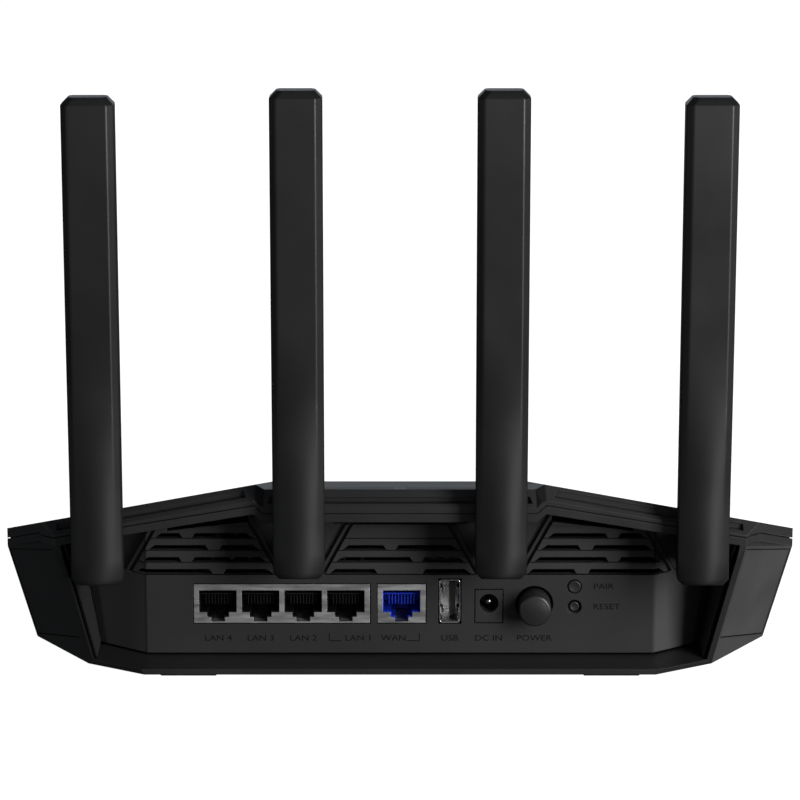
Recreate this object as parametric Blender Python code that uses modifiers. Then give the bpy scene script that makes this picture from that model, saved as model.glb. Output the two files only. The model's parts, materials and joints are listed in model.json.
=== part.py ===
"""Wireless router: a wedge-shaped case with a sunken socket panel and four folding antennas.

Sizes below are in millimetres and finished meshes are scaled to metres. X runs across the
router, Z up, and depth is measured in Y from the outer face of the socket panel: negative
towards the sockets' side, positive towards the low front edge. put() moves every piece from
that panel frame to the part's own frame, whose origin is under the middle of the whole box.
"""

import math

import bmesh
import bpy
from mathutils import Matrix, Vector

MM = 0.001

# ---- Case, overall
CASE_FRONT_Y = 151.4
REAR_Y = -15.0  # rearmost face of the case
TIP_X = 130.5  # half the width, at the two side tips
TIP_Y = 20.0
FLOOR_Z = 1.9  # underside of the case
FLOOR_T = 2.3
WALL = 2.4
LID_T = 2.2
GAP = 0.3  # between pieces that touch
NOSE_BACK = 11.4  # the front corners lie this far behind the front edge
NOSE_IN = 24.5  # and this far inside the tips
NOSE_HALF = 84.0  # half the width of the front edge
BASE_FRONT_IN = 7.4  # the floor's front edge lies behind the lid's
BASE_NOSE_BACK = 17.4
BASE_NOSE_IN = 31.5
BASE_TIP_IN = 8.2
BASE_TIP_Y = 28.0
BASE_HALF_FRONT = 79.0

# ---- Lid: a sunken deck between two raised wings
DECK_HALF_REAR = 44.0
DECK_HALF_FRONT = 28.0
DECK_STEP_RUN = 3.0
DECK_Z = 63.1
DECK_DROP = 39.05  # from the rear bevel to the front edge
DECK_BEVEL = 5.1
WING_Z = 64.65  # top of a wing's inner end, at the bevel's upper edge
WING_SIDE_FALL = 0.1815
WING_DROP = 40.575
WING_BEVEL = 4.2
BEVEL_RUN = 4.1
LID_SKIRT = 3.6  # depth of the lid's rim on the sides and the front
SEAM_DECK_Z = 55.8  # height of the seam along the rear edge
SEAM_WING_Z = 58.5
SEAM_SIDE_FALL = 0.1668
BAND_T = 2.5  # band of the housing above the rear opening
LIP_INSET = 0.9  # the housing's lip stands this far inside the outer face
LIP_RISE = 1.0
LIP_STEP = 0.1  # between the lip's inner face and the wall's
SKIRT_GROOVE_H = 1.9  # the grooves along the lid's rear bevel
SKIRT_GROOVE_END = 1.0
DECK_GROOVE_RISE = 4.3  # above the seam
DECK_VENT_COUNT = 6
DECK_VENT_FIRST_Y = -6.0
DECK_VENT_PITCH = 6.0
DECK_VENT_WIDE = 1.6
DECK_VENT_MARGIN = 8.0
WINDOW_BACK = 11.4  # the status lights' windows, behind the front edge
WINDOW_SIZE = (4.0, 1.6)
WINDOW_XS = (-16.0, -8.0, 0.0, 8.0, 16.0)
GUIDE_BOX = (38.0, 4.0, 3.0)

# ---- Floor: vents and wall-hanging keyholes
VENT_COUNT = 7
VENT_FIRST_Y = 52.0
VENT_PITCH = 6.0
VENT_X = 38.0
VENT_SIZE = (44.0, 2.2)
KEYHOLE_X = 50.0
KEYHOLE_Y = 24.0
KEYHOLE_SLOT = (3.8, 9.0)
KEYHOLE_D = 8.0

# ---- Side walls
INLAY_MARGIN = 1.3
INLAY_T = 0.9
INLAY_SINK = 0.1
SIDE_LOW_Z = 10.5  # height of a side wall's lower rear corner

# ---- Rear opening and socket panel
RIM_BOTTOM_X = 102.2
RIM_BOTTOM_Y = -2.5
RIM_TOP_X = 111.4
CORNER_OUT = 4.5  # the lid's rear corners stand this far outside the opening's rim
RIM_TOP_Z = 45.2
FOLD_X = 83.0  # the panel turns forward beyond this
FOLD_SLOPE = 0.736
PANEL_T = 2.2
FLANGE_T = 0.9
TRAY_RISE = 1.3  # the tray's top flange is this much above the opening's edge, behind the band
PANEL_TOP_Z = 31.65
LEDGE_REAR_Z = 3.75  # the floor's ledge rises from the rear edge to the panel
LEDGE_PANEL_Z = 4.5
AIR_GAP_DROP = 4.0  # the air gap under the band starts this much below the band's edge
AIR_GAP_DECK = (22.0, 0.9)  # half its length and its height below the deck
AIR_GAP_WING = (49.5, 76.0, 2.2, 1.0)  # its ends and its height at each, below a wing

# ---- Louvres and antenna seats in the panel
ROW_PITCH = 4.05
ROW_COUNT = 5
ROW_STEP = 0.6
SLOT_H = 1.5
SLOT_LIFT = 0.1
SLOT_LEAN = 2.0  # the slots' ends lean outwards over their height
SLOT_END = 1.5
ROW_LINE_H = 0.35
ROW_LINE_DEPTH = 1.1
SEAT_DEPTH = 1.5
SEAT_HALF_LOW = 5.55
SEAT_SLOPE = 0.544
RIB_T = 1.1
GROOVE_T = 1.2
GROOVE_DEPTH = 1.8
# Each row's slots as shares of its clear width: a side bay's from the middle outwards
SIDE_SLOTS = (
    ((0.0, 0.36), (0.44, 1.0)),
    ((0.0, 0.60), (0.68, 1.0)),
    ((0.0, 0.36), (0.46, 1.0)),
    ((0.0, 0.62), (0.72, 1.0)),
)
MIDDLE_SLOTS = (
    ((0.0, 0.34), (0.66, 1.0)),
    ((0.0, 0.60), (0.67, 1.0)),
    ((0.0, 0.38), (0.46, 1.0)),
)

# ---- Antennas
INNER_ANTENNA_X = 32.35
OUTER_ANTENNA_X = 96.9
OUTER_DROP = 2.1  # the outer pair sits this much lower
HINGE_Z = 42.2
HINGE_Y = -19.8
BLADE_W = 16.5
BLADE_T = 9.6
BLADE_REAR_Y = -25.6
BLADE_BELOW = 5.1  # from the hinge axis down to the blade's lower end
BLADE_TOP_Z = 193.4
BLADE_WALL = 1.5
BLADE_EDGE = 2.0
BLADE_CORNER = 2.4
CROWN_T = 3.0
COVER_T = 1.5
ANTENNA_BOARD = (9.0, 0.8)
TONGUE_R = 3.5
TONGUE_W = 6.0
PIN_D = 2.4
PIN_COVER = 1.45  # plastic left over each end of the pin
NECK_D = 9.0
NECK_END = 7.3  # from the hinge axis to the neck
SHAFT_D = 7.0
SHAFT_BORE_D = 2.4
COLLAR_D = 10.6
COLLAR_T = 1.6
SNAP_T = 1.0
BEARING_D = 11.2
BEARING_END_Y = 6.0
LEAD_D = 1.4
INNER_LEAD_X = 40.0  # where the inner pair's leads meet the board
OUTER_LEAD_IN = 8.0

# ---- Main board and what stands on it
BOARD_TOP_Z = 14.7
BOARD_T = 1.6
BOARD_HALF = 95.0
BOARD_CLEAR = 0.7  # behind the panel
BOARD_NOTCH_Y = 34.0  # the board narrows in front of this, round the lid's posts
BOARD_HALF_FRONT = 66.0
BOARD_HOLE_X = 82.0
BOARD_HOLE_REAR_Y = 22.0
BOARD_HOLE_D = 3.2
BOARD_POST_D = 5.5
SINK_LOW = (-70.0, 34.0)
SINK_HIGH = (-12.0, 80.0)
SINK_BASE_T = 3.0
SINK_H = 15.0
FIN_T = 1.4
FIN_COUNT = 10
CAN_X = (6.0, 44.0)
CAN_YS = ((34.0, 62.0), (68.0, 96.0))
CAN_H = 4.0
CAN_WALL = 0.6

# ---- Sockets (centres measured on the panel)
JACK_PITCH = 13.97
JACK_COUNT = 4
JACK_DEPTH = 21.0
JACK_H = 13.1
JACK_MARGIN = 0.85  # shield outside the first and the last jack
JACK_APART = 4.3  # between the row's cells and the single jack's cell
JACK_Z = 21.6
WAN_X = 0.5
PORT_W = 12.3
PORT_H = 7.5
PORT_TOP = 4.5  # above the jack's centre
STEP_W = 7.2
STEP_H = 1.6
LATCH_W = 4.5
LATCH_H = 1.5
SHIELD_T = 0.5
PORT_DEPTH = 13.0
INSERT_LIP = 0.25  # the insert shows this much inside the shield's mouth
USB_X = 16.3
USB_Z = 22.4
USB_BOX = (7.0, 15.0, 14.8)
USB_WALL = 0.45
USB_TONGUE = (1.9, 9.5, 10.8)
USB_TONGUE_OFF = 0.9
DC_X = 29.1
DC_Z = 21.7
DC_BOX = (8.9, 14.2, 11.1)
DC_BODY_DROP = 1.0  # the body's middle lies below the hole's
DC_HOLE_D = 6.3
DC_HOLE_DEPTH = 10.0
DC_PIN_D = 2.0
DC_PIN_BACK = 2.0  # the pin's tip lies behind the face

# ---- Buttons
POWER_X = 44.0
POWER_Z = 21.45
POWER_D = 10.7
POWER_OUT = 9.0
POWER_IN = 2.0  # the cap reaches into its hole
POWER_EDGE = 0.8
POWER_CLEAR = 0.8  # round the cap
POWER_TRAVEL = 2.5
STEM_D = 3.6
STEM_END = 9.0
SWITCH_Y = 6.4
SWITCH_BOX = (11.0, 12.5)
SMALL_TRAVEL = 0.6
SMALL_COLLAR = 0.9
SMALL_SWITCH = (6.0, 3.6)
SMALL_SWITCH_OVER = 2.5
PAIR_X = 57.1
PAIR_Z = 27.4
PAIR_D = 4.2
PAIR_OUT = 0.4
PAIR_LENGTH = 13.0
RESET_X = 57.1
RESET_Z = 20.5
RESET_D = 3.3
RESET_OUT = -0.4
RESET_LENGTH = 6.4
RESET_FUNNEL_D = 5.7

# ---- Feet and screws
FOOT_BOX = (18.8, 8.6)
FOOT_SINK = 0.8
FOOT_REAR = (69.0, -5.8)
FOOT_FRONT_X = 62.0
FOOT_FRONT_BACK = 23.4
SCREW_REAR = (94.0, 44.0)
SCREW_FRONT_X = 72.0
SCREW_FRONT_BACK = 33.4
SCREW_D = 3.0
SCREW_HEAD_D = 5.6
SCREW_HEAD_T = 1.9
SCREW_SINK = 0.35
SCREW_LENGTH = 11.0
BOSS_D = 10.6
BOSS_TOP = 7.5
POST_D = 7.6

# ---- Worked out from the sizes above
ORIGIN_Y = (CASE_FRONT_Y + BLADE_REAR_Y) / 2
BEVEL_Y = REAR_Y + BEVEL_RUN
NOSE = (TIP_X - NOSE_IN, CASE_FRONT_Y - NOSE_BACK)
BEYOND_X = TIP_X + 20.0
HIGH_Z = 100.0
ANTENNA_XS = (-OUTER_ANTENNA_X, -INNER_ANTENNA_X, INNER_ANTENNA_X, OUTER_ANTENNA_X)
LAST_JACK_X = WAN_X - JACK_PITCH - JACK_APART
JACK_XS = tuple(LAST_JACK_X - k * JACK_PITCH for k in reversed(range(JACK_COUNT)))
JACK_BOX = (JACK_COUNT * JACK_PITCH + 2 * JACK_MARGIN, JACK_DEPTH, JACK_H)
WAN_BOX = (JACK_PITCH + 2 * JACK_MARGIN, JACK_DEPTH, JACK_H)
POWER_HOLE_D = POWER_D + 2 * POWER_CLEAR
PIN_LENGTH = BLADE_W - 2 * PIN_COVER
WINDOW_Y = CASE_FRONT_Y - WINDOW_BACK
FOOT_FRONT = (FOOT_FRONT_X, CASE_FRONT_Y - FOOT_FRONT_BACK)
SCREW_FRONT = (SCREW_FRONT_X, CASE_FRONT_Y - SCREW_FRONT_BACK)
CORNER_NAMES = ("rear_left", "rear_right", "front_left", "front_right")
FEET = tuple((side * x, y) for x, y in (FOOT_REAR, FOOT_FRONT) for side in (-1, 1))
SCREWS = tuple((side * x, y) for x, y in (SCREW_REAR, SCREW_FRONT) for side in (-1, 1))
BOARD_HOLE_YS = (BOARD_HOLE_REAR_Y, SCREW_FRONT[1] - 20.0)

parts = None
guides = None


# ---------------------------------------------------------------- materials and objects
def finish(name, colour, roughness, metallic=0.0):
    """A Principled material, made once and found by its name after that."""
    if name in bpy.data.materials:
        return bpy.data.materials[name]
    material = bpy.data.materials.new(name)
    material.use_nodes = True
    shader = material.node_tree.nodes["Principled BSDF"]
    shader.inputs["Base Color"].default_value = (*colour, 1.0)
    shader.inputs["Roughness"].default_value = roughness
    shader.inputs["Metallic"].default_value = metallic
    material.diffuse_color = (*colour, 1.0)
    return material


def case_black():
    return finish("case_black", (0.028, 0.028, 0.03), 0.55)


def panel_black():
    return finish("panel_black", (0.03, 0.03, 0.031), 0.6)


def inlay_black():
    return finish("inlay_black", (0.016, 0.016, 0.017), 0.45)


def antenna_black():
    return finish("antenna_black", (0.03, 0.03, 0.032), 0.5)


def socket_metal():
    return finish("socket_metal", (0.62, 0.63, 0.64), 0.32, 1.0)


def steel():
    return finish("steel", (0.5, 0.5, 0.51), 0.35, 1.0)


def insert_black():
    return finish("insert_black", (0.012, 0.012, 0.013), 0.5)


def insert_blue():
    return finish("insert_blue", (0.01, 0.09, 0.75), 0.4)


def rubber():
    return finish("rubber", (0.02, 0.02, 0.02), 0.85)


def board_green():
    return finish("board_green", (0.01, 0.09, 0.05), 0.45)


def aluminium():
    return finish("aluminium", (0.66, 0.67, 0.69), 0.38, 1.0)


def clear_plastic():
    return finish("clear_plastic", (0.75, 0.78, 0.8), 0.2)


def put(bm, name, material, origin=(0, 0, 0), group=None, smooth=False):
    """Makes the mesh an object whose origin is the given point of the panel frame."""
    start = Vector(origin)
    bmesh.ops.translate(bm, verts=bm.verts, vec=-start)
    bmesh.ops.scale(bm, verts=bm.verts, vec=(MM, MM, MM))
    mesh = bpy.data.meshes.new(name)
    bm.to_mesh(mesh)
    bm.free()
    thing = bpy.data.objects.new(name, mesh)
    thing.location = (start - Vector((0, ORIGIN_Y, 0))) * MM
    if material:
        mesh.materials.append(material)
    (group or parts).objects.link(thing)
    if smooth:
        mesh.shade_smooth()
        mesh.set_sharp_from_angle(angle=math.radians(35))
    return thing


def cutter(bm, name):
    """A guide shape that the build leaves out."""
    thing = put(bm, name, None, group=guides)
    thing.hide_render = True
    thing.display_type = "WIRE"
    return thing


def combine(target, other, operation):
    step = target.modifiers.new(f"{operation}_{other.name}"[:60], "BOOLEAN")
    step.object = other
    step.operation = operation
    step.solver = "EXACT"
    return step


def cut(target, bm, name):
    return combine(target, cutter(bm, name), "DIFFERENCE")


def add(target, bm, name):
    return combine(target, cutter(bm, name), "UNION")


def keep(target, bm, name):
    return combine(target, cutter(bm, name), "INTERSECT")


# ---------------------------------------------------------------- solids, as bmeshes
def solid_hull(points):
    """The convex solid round some points, with its flat faces whole."""
    bm = bmesh.new()
    for point in points:
        bm.verts.new(point)
    made = bmesh.ops.convex_hull(bm, input=bm.verts)
    spare = {v for v in made["geom_interior"] + made["geom_unused"] if isinstance(v, bmesh.types.BMVert)}
    bmesh.ops.delete(bm, geom=list(spare), context="VERTS")
    bmesh.ops.dissolve_limit(bm, angle_limit=0.001, verts=bm.verts, edges=bm.edges)
    bmesh.ops.recalc_face_normals(bm, faces=bm.faces)
    return bm


def box(centre, size):
    bm = bmesh.new()
    bmesh.ops.create_cube(bm, size=1.0)
    bmesh.ops.scale(bm, verts=bm.verts, vec=size)
    bmesh.ops.translate(bm, verts=bm.verts, vec=centre)
    return bm


def span(low, high):
    """A box between two opposite corners."""
    centre = [(a + b) / 2 for a, b in zip(low, high)]
    size = [b - a for a, b in zip(low, high)]
    return box(centre, size)


def rod(centre, diameter, length, axis="Y", sides=24, end_diameter=None):
    """A cylinder or cone frustum about its centre, end_diameter at its + end."""
    bm = bmesh.new()
    bmesh.ops.create_cone(
        bm,
        cap_ends=True,
        segments=sides,
        radius1=diameter / 2,
        radius2=(end_diameter or diameter) / 2,
        depth=length,
        matrix=Matrix.Rotation(math.pi / sides, 4, "Z"),
    )
    turns = {
        "X": Matrix.Rotation(math.pi / 2, 4, "Y"),
        "Y": Matrix.Rotation(-math.pi / 2, 4, "X"),
        "Z": Matrix.Identity(4),
    }
    bmesh.ops.transform(bm, matrix=turns[axis], verts=bm.verts)
    bmesh.ops.translate(bm, verts=bm.verts, vec=centre)
    return bm


def prism(outline, low, high, axis="Y"):
    """A flat outline carried along an axis: (x, z) pairs along Y, (x, y) along Z, (y, z) along X."""
    place = {
        "X": lambda p, t: (t, p[0], p[1]),
        "Y": lambda p, t: (p[0], t, p[1]),
        "Z": lambda p, t: (p[0], p[1], t),
    }[axis]
    bm = bmesh.new()
    face = bm.faces.new([bm.verts.new(place(p, low)) for p in outline])
    shift = Vector(place((0, 0), high - low))
    made = bmesh.ops.extrude_face_region(bm, geom=[face])
    moved = [v for v in made["geom"] if isinstance(v, bmesh.types.BMVert)]
    bmesh.ops.translate(bm, verts=moved, vec=shift)
    bmesh.ops.recalc_face_normals(bm, faces=bm.faces)
    return bm


def joined(shapes):
    """Separate solids, kept apart in one mesh."""
    whole = bmesh.new()
    for shape in shapes:
        spare = bpy.data.meshes.new("spare")
        shape.to_mesh(spare)
        shape.free()
        whole.from_mesh(spare)
        bpy.data.meshes.remove(spare)
    return whole


def above(height, columns, rows, top=HIGH_Z + 30.0):
    """Everything above a folded surface: height(x, y) on a grid of column factors and rows."""
    bm = bmesh.new()
    grid = [[bm.verts.new((x(y), y, height(x(y), y))) for x in columns] for y in rows]
    faces = []
    for near, far in zip(grid, grid[1:]):
        for k in range(len(columns) - 1):
            faces.append(bm.faces.new((near[k], near[k + 1], far[k])))
            faces.append(bm.faces.new((near[k + 1], far[k + 1], far[k])))
    made = bmesh.ops.extrude_face_region(bm, geom=faces)
    for item in made["geom"]:
        if isinstance(item, bmesh.types.BMVert):
            item.co.z = top
    bmesh.ops.recalc_face_normals(bm, faces=bm.faces)
    return bm


def mirrored(half):
    """A closed outline from its right half, listed from one end round to the other."""
    return list(half) + [(-x, y) for x, y in reversed(half)]


def inset(outline, distance):
    """The outline moved inwards by a distance, edge by edge (anticlockwise order)."""
    count = len(outline)
    moved = []
    for k in range(count):
        before = Vector(outline[k - 1])
        here = Vector(outline[k])
        after = Vector(outline[(k + 1) % count])
        first = (here - before).normalized()
        second = (after - here).normalized()
        first_in = Vector((-first.y, first.x))
        second_in = Vector((-second.y, second.x))
        bisector = (first_in + second_in).normalized()
        reach = distance / bisector.dot(first_in)
        moved.append(tuple(here + bisector * reach))
    return moved


# ---------------------------------------------------------------- the case's own surfaces
def lerp(a, b, t):
    return a + (b - a) * t


def deck_half(y):
    return lerp(DECK_HALF_REAR, DECK_HALF_FRONT, (y - REAR_Y) / (CASE_FRONT_Y - REAR_Y))


def wing_start(y):
    return deck_half(y) + DECK_STEP_RUN


def on_deck(x, y):
    return abs(x) <= deck_half(y) + 0.001


def lid_height(x, y, lower=0.0):
    """Top of the case: a rear bevel, then planes that fall to the front and, on the wings, sideways."""
    run = max(0.0, BEVEL_Y - y) / BEVEL_RUN
    forward = max(0.0, y - BEVEL_Y) / (CASE_FRONT_Y - BEVEL_Y)
    if on_deck(x, y):
        return DECK_Z - DECK_DROP * forward - DECK_BEVEL * run - lower
    side = WING_SIDE_FALL * (abs(x) - wing_start(REAR_Y))
    return WING_Z - side - WING_DROP * forward - WING_BEVEL * run - lower


def seam_height(x, y, lift=0.0):
    """The seam between housing and lid: its own line along the rear, then parallel to the lid."""
    if y > REAR_Y + 1:
        return lid_height(x, y) - LID_SKIRT + lift
    if on_deck(x, y):
        return SEAM_DECK_Z + lift
    return SEAM_WING_Z - SEAM_SIDE_FALL * (abs(x) - wing_start(REAR_Y)) + lift


SURFACE_COLUMNS = (
    lambda y: -BEYOND_X,
    lambda y: -wing_start(y),
    lambda y: -deck_half(y),
    lambda y: deck_half(y),
    lambda y: wing_start(y),
    lambda y: BEYOND_X,
)


def above_lid(lower=0.0):
    rows = (REAR_Y - 5, BEVEL_Y, CASE_FRONT_Y + 10)
    return above(lambda x, y: lid_height(x, y, lower), SURFACE_COLUMNS, rows)


def above_seam(lift=0.0):
    rows = (REAR_Y - 5, REAR_Y, REAR_Y + 5, CASE_FRONT_Y + 10)
    return above(lambda x, y: seam_height(x, y, lift), SURFACE_COLUMNS, rows)


# Right halves of the plan outlines, from the rear round to the front
SLAB_HALF = (
    (RIM_TOP_X, REAR_Y),
    (RIM_TOP_X + CORNER_OUT, BEVEL_Y),
    (TIP_X, TIP_Y),
    NOSE,
    (NOSE_HALF, CASE_FRONT_Y),
)
BODY_HALF = (SLAB_HALF[0], *SLAB_HALF[2:])
BASE_HALF = (
    (FOLD_X, REAR_Y + 0.5),
    (RIM_BOTTOM_X, RIM_BOTTOM_Y),
    (TIP_X - BASE_TIP_IN, BASE_TIP_Y),
    (TIP_X - BASE_NOSE_IN, CASE_FRONT_Y - BASE_NOSE_BACK),
    (BASE_HALF_FRONT, CASE_FRONT_Y - BASE_FRONT_IN),
)


def rim_point(z):
    """A point on the sloping outer corner of the rear opening's rim."""
    t = (z - FLOOR_Z) / (RIM_TOP_Z - FLOOR_Z)
    return (lerp(RIM_BOTTOM_X, RIM_TOP_X, t), lerp(RIM_BOTTOM_Y, REAR_Y, t), z)


def body_hull(wall, low):
    """The case below its slab, as one convex solid, shrunk by a wall."""
    base = inset(mirrored(BASE_HALF), wall)
    upper = inset(mirrored(BODY_HALF), wall)
    points = [(x, y, low) for x, y in base]
    for x, y in upper:
        points.append((x, y, seam_height(x, y) - BAND_T))
        points.append((x, y, HIGH_Z))
    x, y, z = rim_point(SIDE_LOW_Z)
    points += [(x - wall, y + wall, z), (wall - x, y + wall, z)]
    return solid_hull(points)


def slab():
    return prism(mirrored(SLAB_HALF), 0.0, HIGH_Z, "Z")


FOLD_COLUMNS = (
    lambda y: -BEYOND_X,
    lambda y: -FOLD_X,
    lambda y: FOLD_X,
    lambda y: BEYOND_X,
)


def ledge_height(x, y):
    """The floor behind the opening: a facet up to the panel, folded outwards where the case narrows."""
    rise = LEDGE_PANEL_Z - LEDGE_REAR_Z
    corner = Vector(BASE_HALF[0])
    along = (Vector(BASE_HALF[1]) - corner).normalized()
    across = Vector((-along.y, along.x))
    if abs(x) <= FOLD_X + 0.001:
        return LEDGE_REAR_Z + rise * (y - corner.y) / -corner.y
    reach = (Vector((FOLD_X, 0.0)) - corner).dot(across)
    return LEDGE_REAR_Z + rise * (Vector((abs(x), y)) - corner).dot(across) / reach


def above_ledge():
    return above(ledge_height, FOLD_COLUMNS, (REAR_Y - 10, 24.0))


def opening_outline(shrink=0.0, low=0.0, rise=0.0):
    """The rear opening seen from behind: leaning sides under the folded band, which rise can lift."""
    lean = (RIM_TOP_X - RIM_BOTTOM_X) / (RIM_TOP_Z - FLOOR_Z)
    rim = WALL - 0.3
    side_low = RIM_BOTTOM_X + (low - FLOOR_Z) * lean - rim
    side_top = RIM_TOP_X - rim
    band = BAND_T + 0.1 - rise
    half = [
        (side_low, low),
        (side_top, seam_height(side_top, REAR_Y) - band),
        (wing_start(REAR_Y), SEAM_WING_Z - band),
        (deck_half(REAR_Y), SEAM_DECK_Z - band),
    ]
    outline = mirrored(half)
    return inset(outline, shrink) if shrink else outline


# ---------------------------------------------------------------- housing
def make_housing():
    housing = put(body_hull(0.0, FLOOR_Z), "housing", case_black())
    band = cutter(slab(), "housing_slab")
    keep(band, above_seam(-BAND_T), "band_zone")
    combine(housing, band, "UNION")
    cut(housing, above_seam(), "housing_seam")
    cut(housing, body_hull(WALL, FLOOR_Z + FLOOR_T), "housing_hollow")
    opening = cutter(prism(opening_outline(), REAR_Y - 15, PANEL_T + GAP), "rear_opening")
    keep(opening, above_ledge(), "opening_floor")
    keep(opening, panel_side(), "opening_depth")
    combine(housing, opening, "DIFFERENCE")
    combine(housing, seam_ring("lip", LIP_INSET, -LIP_STEP, LIP_RISE), "UNION")
    cut(housing, joined([span(*foot_pocket(x, y)) for x, y in FEET]), "foot_pockets")
    add_bosses(housing)
    posts = []
    for x in (-BOARD_HOLE_X, BOARD_HOLE_X):
        for y in BOARD_HOLE_YS:
            low, high = FLOOR_Z + FLOOR_T - 0.6, BOARD_TOP_Z - BOARD_T - GAP
            posts.append(rod((x, y, (low + high) / 2), BOARD_POST_D, high - low, "Z", 12))
    add(housing, joined(posts), "board_posts")
    cut_floor(housing)
    for side in (-1, 1):
        recess = inlay(side, GAP, INLAY_SINK + INLAY_T + GAP, -1.2)
        cut(housing, recess, f"inlay_recess_{side}")


def add_bosses(housing):
    """Where the four screws come in: a boss, the head's seat and the shank's bore."""
    low = FLOOR_Z + 0.2
    bosses = [rod((x, y, (low + FLOOR_Z + BOSS_TOP) / 2), BOSS_D, BOSS_TOP - 0.2, "Z", 16) for x, y in SCREWS]
    add(housing, joined(bosses), "screw_bosses")
    seat_top = FLOOR_Z + SCREW_SINK + SCREW_HEAD_T + 0.45
    seats = [rod((x, y, seat_top / 2), SCREW_HEAD_D + 3 * GAP, seat_top, "Z", 16) for x, y in SCREWS]
    cut(housing, joined(seats), "screw_seats")
    bores = [rod((x, y, BOSS_TOP), SCREW_D + 0.8, 2 * BOSS_TOP, "Z", 12) for x, y in SCREWS]
    cut(housing, joined(bores), "screw_bores")


def cut_floor(housing):
    """Cooling slots and the two keyholes for hanging on a wall."""
    through = FLOOR_Z + FLOOR_T + 2.0
    long, wide = VENT_SIZE
    slot, run = KEYHOLE_SLOT
    vents, keyholes, heads = [], [], []
    for side in (-1, 1):
        for k in range(VENT_COUNT):
            x, y = side * VENT_X, VENT_FIRST_Y + k * VENT_PITCH
            vents.append(span((x - long / 2, y, -1), (x + long / 2, y + wide, through)))
        x = side * KEYHOLE_X
        keyholes.append(span((x - slot / 2, KEYHOLE_Y, -1), (x + slot / 2, KEYHOLE_Y + run, through)))
        heads.append(rod((x, KEYHOLE_Y, through / 2), KEYHOLE_D, through + 1, "Z", 16))
    cut(housing, joined(vents), "floor_vents")
    cut(housing, joined(keyholes), "keyhole_slots")
    cut(housing, joined(heads), "keyhole_heads")


def panel_side():
    """Everything on the sockets' side of the folded panel's inner face."""
    depth = PANEL_T + GAP
    half = [(BEYOND_X, REAR_Y - 25.0), (BEYOND_X, folded(BEYOND_X, depth)), (FOLD_X, depth)]
    return prism(mirrored(half), -20.0, HIGH_Z + 30.0, "Z")


def seam_ring(name, start, grow, rise):
    """A ring inside the wall along the sides and the front, from below the seam to above it."""
    ring = cutter(body_hull(start, 0.0), name)
    cut(ring, body_hull(WALL + grow, -5.0), f"{name}_inner")
    keep(ring, above_seam(-0.6 - grow), f"{name}_root")
    cut(ring, above_seam(rise), f"{name}_top")
    rear = (CORNER_OUT + RIM_TOP_X - grow, TIP_Y + 10.0 - grow)
    cut(ring, span((-rear[0], REAR_Y - 20, -10), (rear[0], rear[1], HIGH_Z + 30)), f"{name}_rear_limit")
    return ring


def foot_pocket(x, y, grow=GAP):
    wide, deep = FOOT_BOX
    low = (x - wide / 2 - grow, y - deep / 2 - grow, -1.0)
    high = (x + wide / 2 + grow, y + deep / 2 + grow, FLOOR_Z + FOOT_SINK + grow)
    return low, high


def side_plane(side):
    """Three points of a side wall's plane: under the band, at the tip, and by the floor."""
    x, y = BODY_HALF[0]
    near_top = Vector((x, y, seam_height(x, y) - BAND_T))
    x, y = BODY_HALF[1]
    far_top = Vector((x, y, seam_height(x, y) - BAND_T))
    x, y = BASE_HALF[2]
    far_low = Vector((x, y, FLOOR_Z))
    near_low = Vector(rim_point(SIDE_LOW_Z))
    return [Vector((side * p.x, p.y, p.z)) for p in (near_top, far_top, far_low, near_low)]


def inlay(side, grow, inner, outer):
    """A four-sided plate lying in a side wall, from one depth under its face to another."""
    near_top, far_top, far_low, near_low = side_plane(side)
    normal = (far_top - near_top).cross(far_low - near_top).normalized()
    if normal.x * side < 0:
        normal = -normal
    margin = INLAY_MARGIN - grow
    corners = []
    ring = [near_top, far_top, far_low, near_low]
    for k in range(4):
        here = ring[k]
        toward = (ring[(k + 1) % 4] - here).normalized()
        back = (ring[k - 1] - here).normalized()
        spread = toward.cross(back).length
        corners.append(here + (toward + back) * (margin / spread))
    points = [c - normal * inner for c in corners]
    points += [c - normal * outer for c in corners]
    return solid_hull(points)


def make_side_panels():
    for side, name in ((-1, "left_side_panel"), (1, "right_side_panel")):
        put(inlay(side, 0.0, INLAY_SINK + INLAY_T, INLAY_SINK), name, inlay_black())


# ---------------------------------------------------------------- lid
def groove_outlines():
    """The long grooves in the lid's rear bevel: one on the deck and one on each wing."""
    half_height = SKIRT_GROOVE_H / 2
    deck_z = SEAM_DECK_Z + DECK_GROOVE_RISE
    start = wing_start(REAR_Y) + 2.5
    end = RIM_TOP_X - SKIRT_GROOVE_END

    def middle(x):
        return lid_height(x, REAR_Y + BEVEL_RUN * 0.52) - 0.1

    deck = DECK_HALF_REAR - 1.5
    outlines = [
        [(-deck, deck_z - half_height), (deck, deck_z - half_height)]
        + [(deck - 0.8, deck_z + half_height), (0.8 - deck, deck_z + half_height)]
    ]
    for side in (-1, 1):
        outlines.append(
            [
                (side * start, middle(start) - half_height),
                (side * end, middle(end) - half_height),
                (side * end, middle(end) + half_height),
                (side * (start + 0.9), middle(start) + half_height),
            ]
        )
    return outlines


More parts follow.
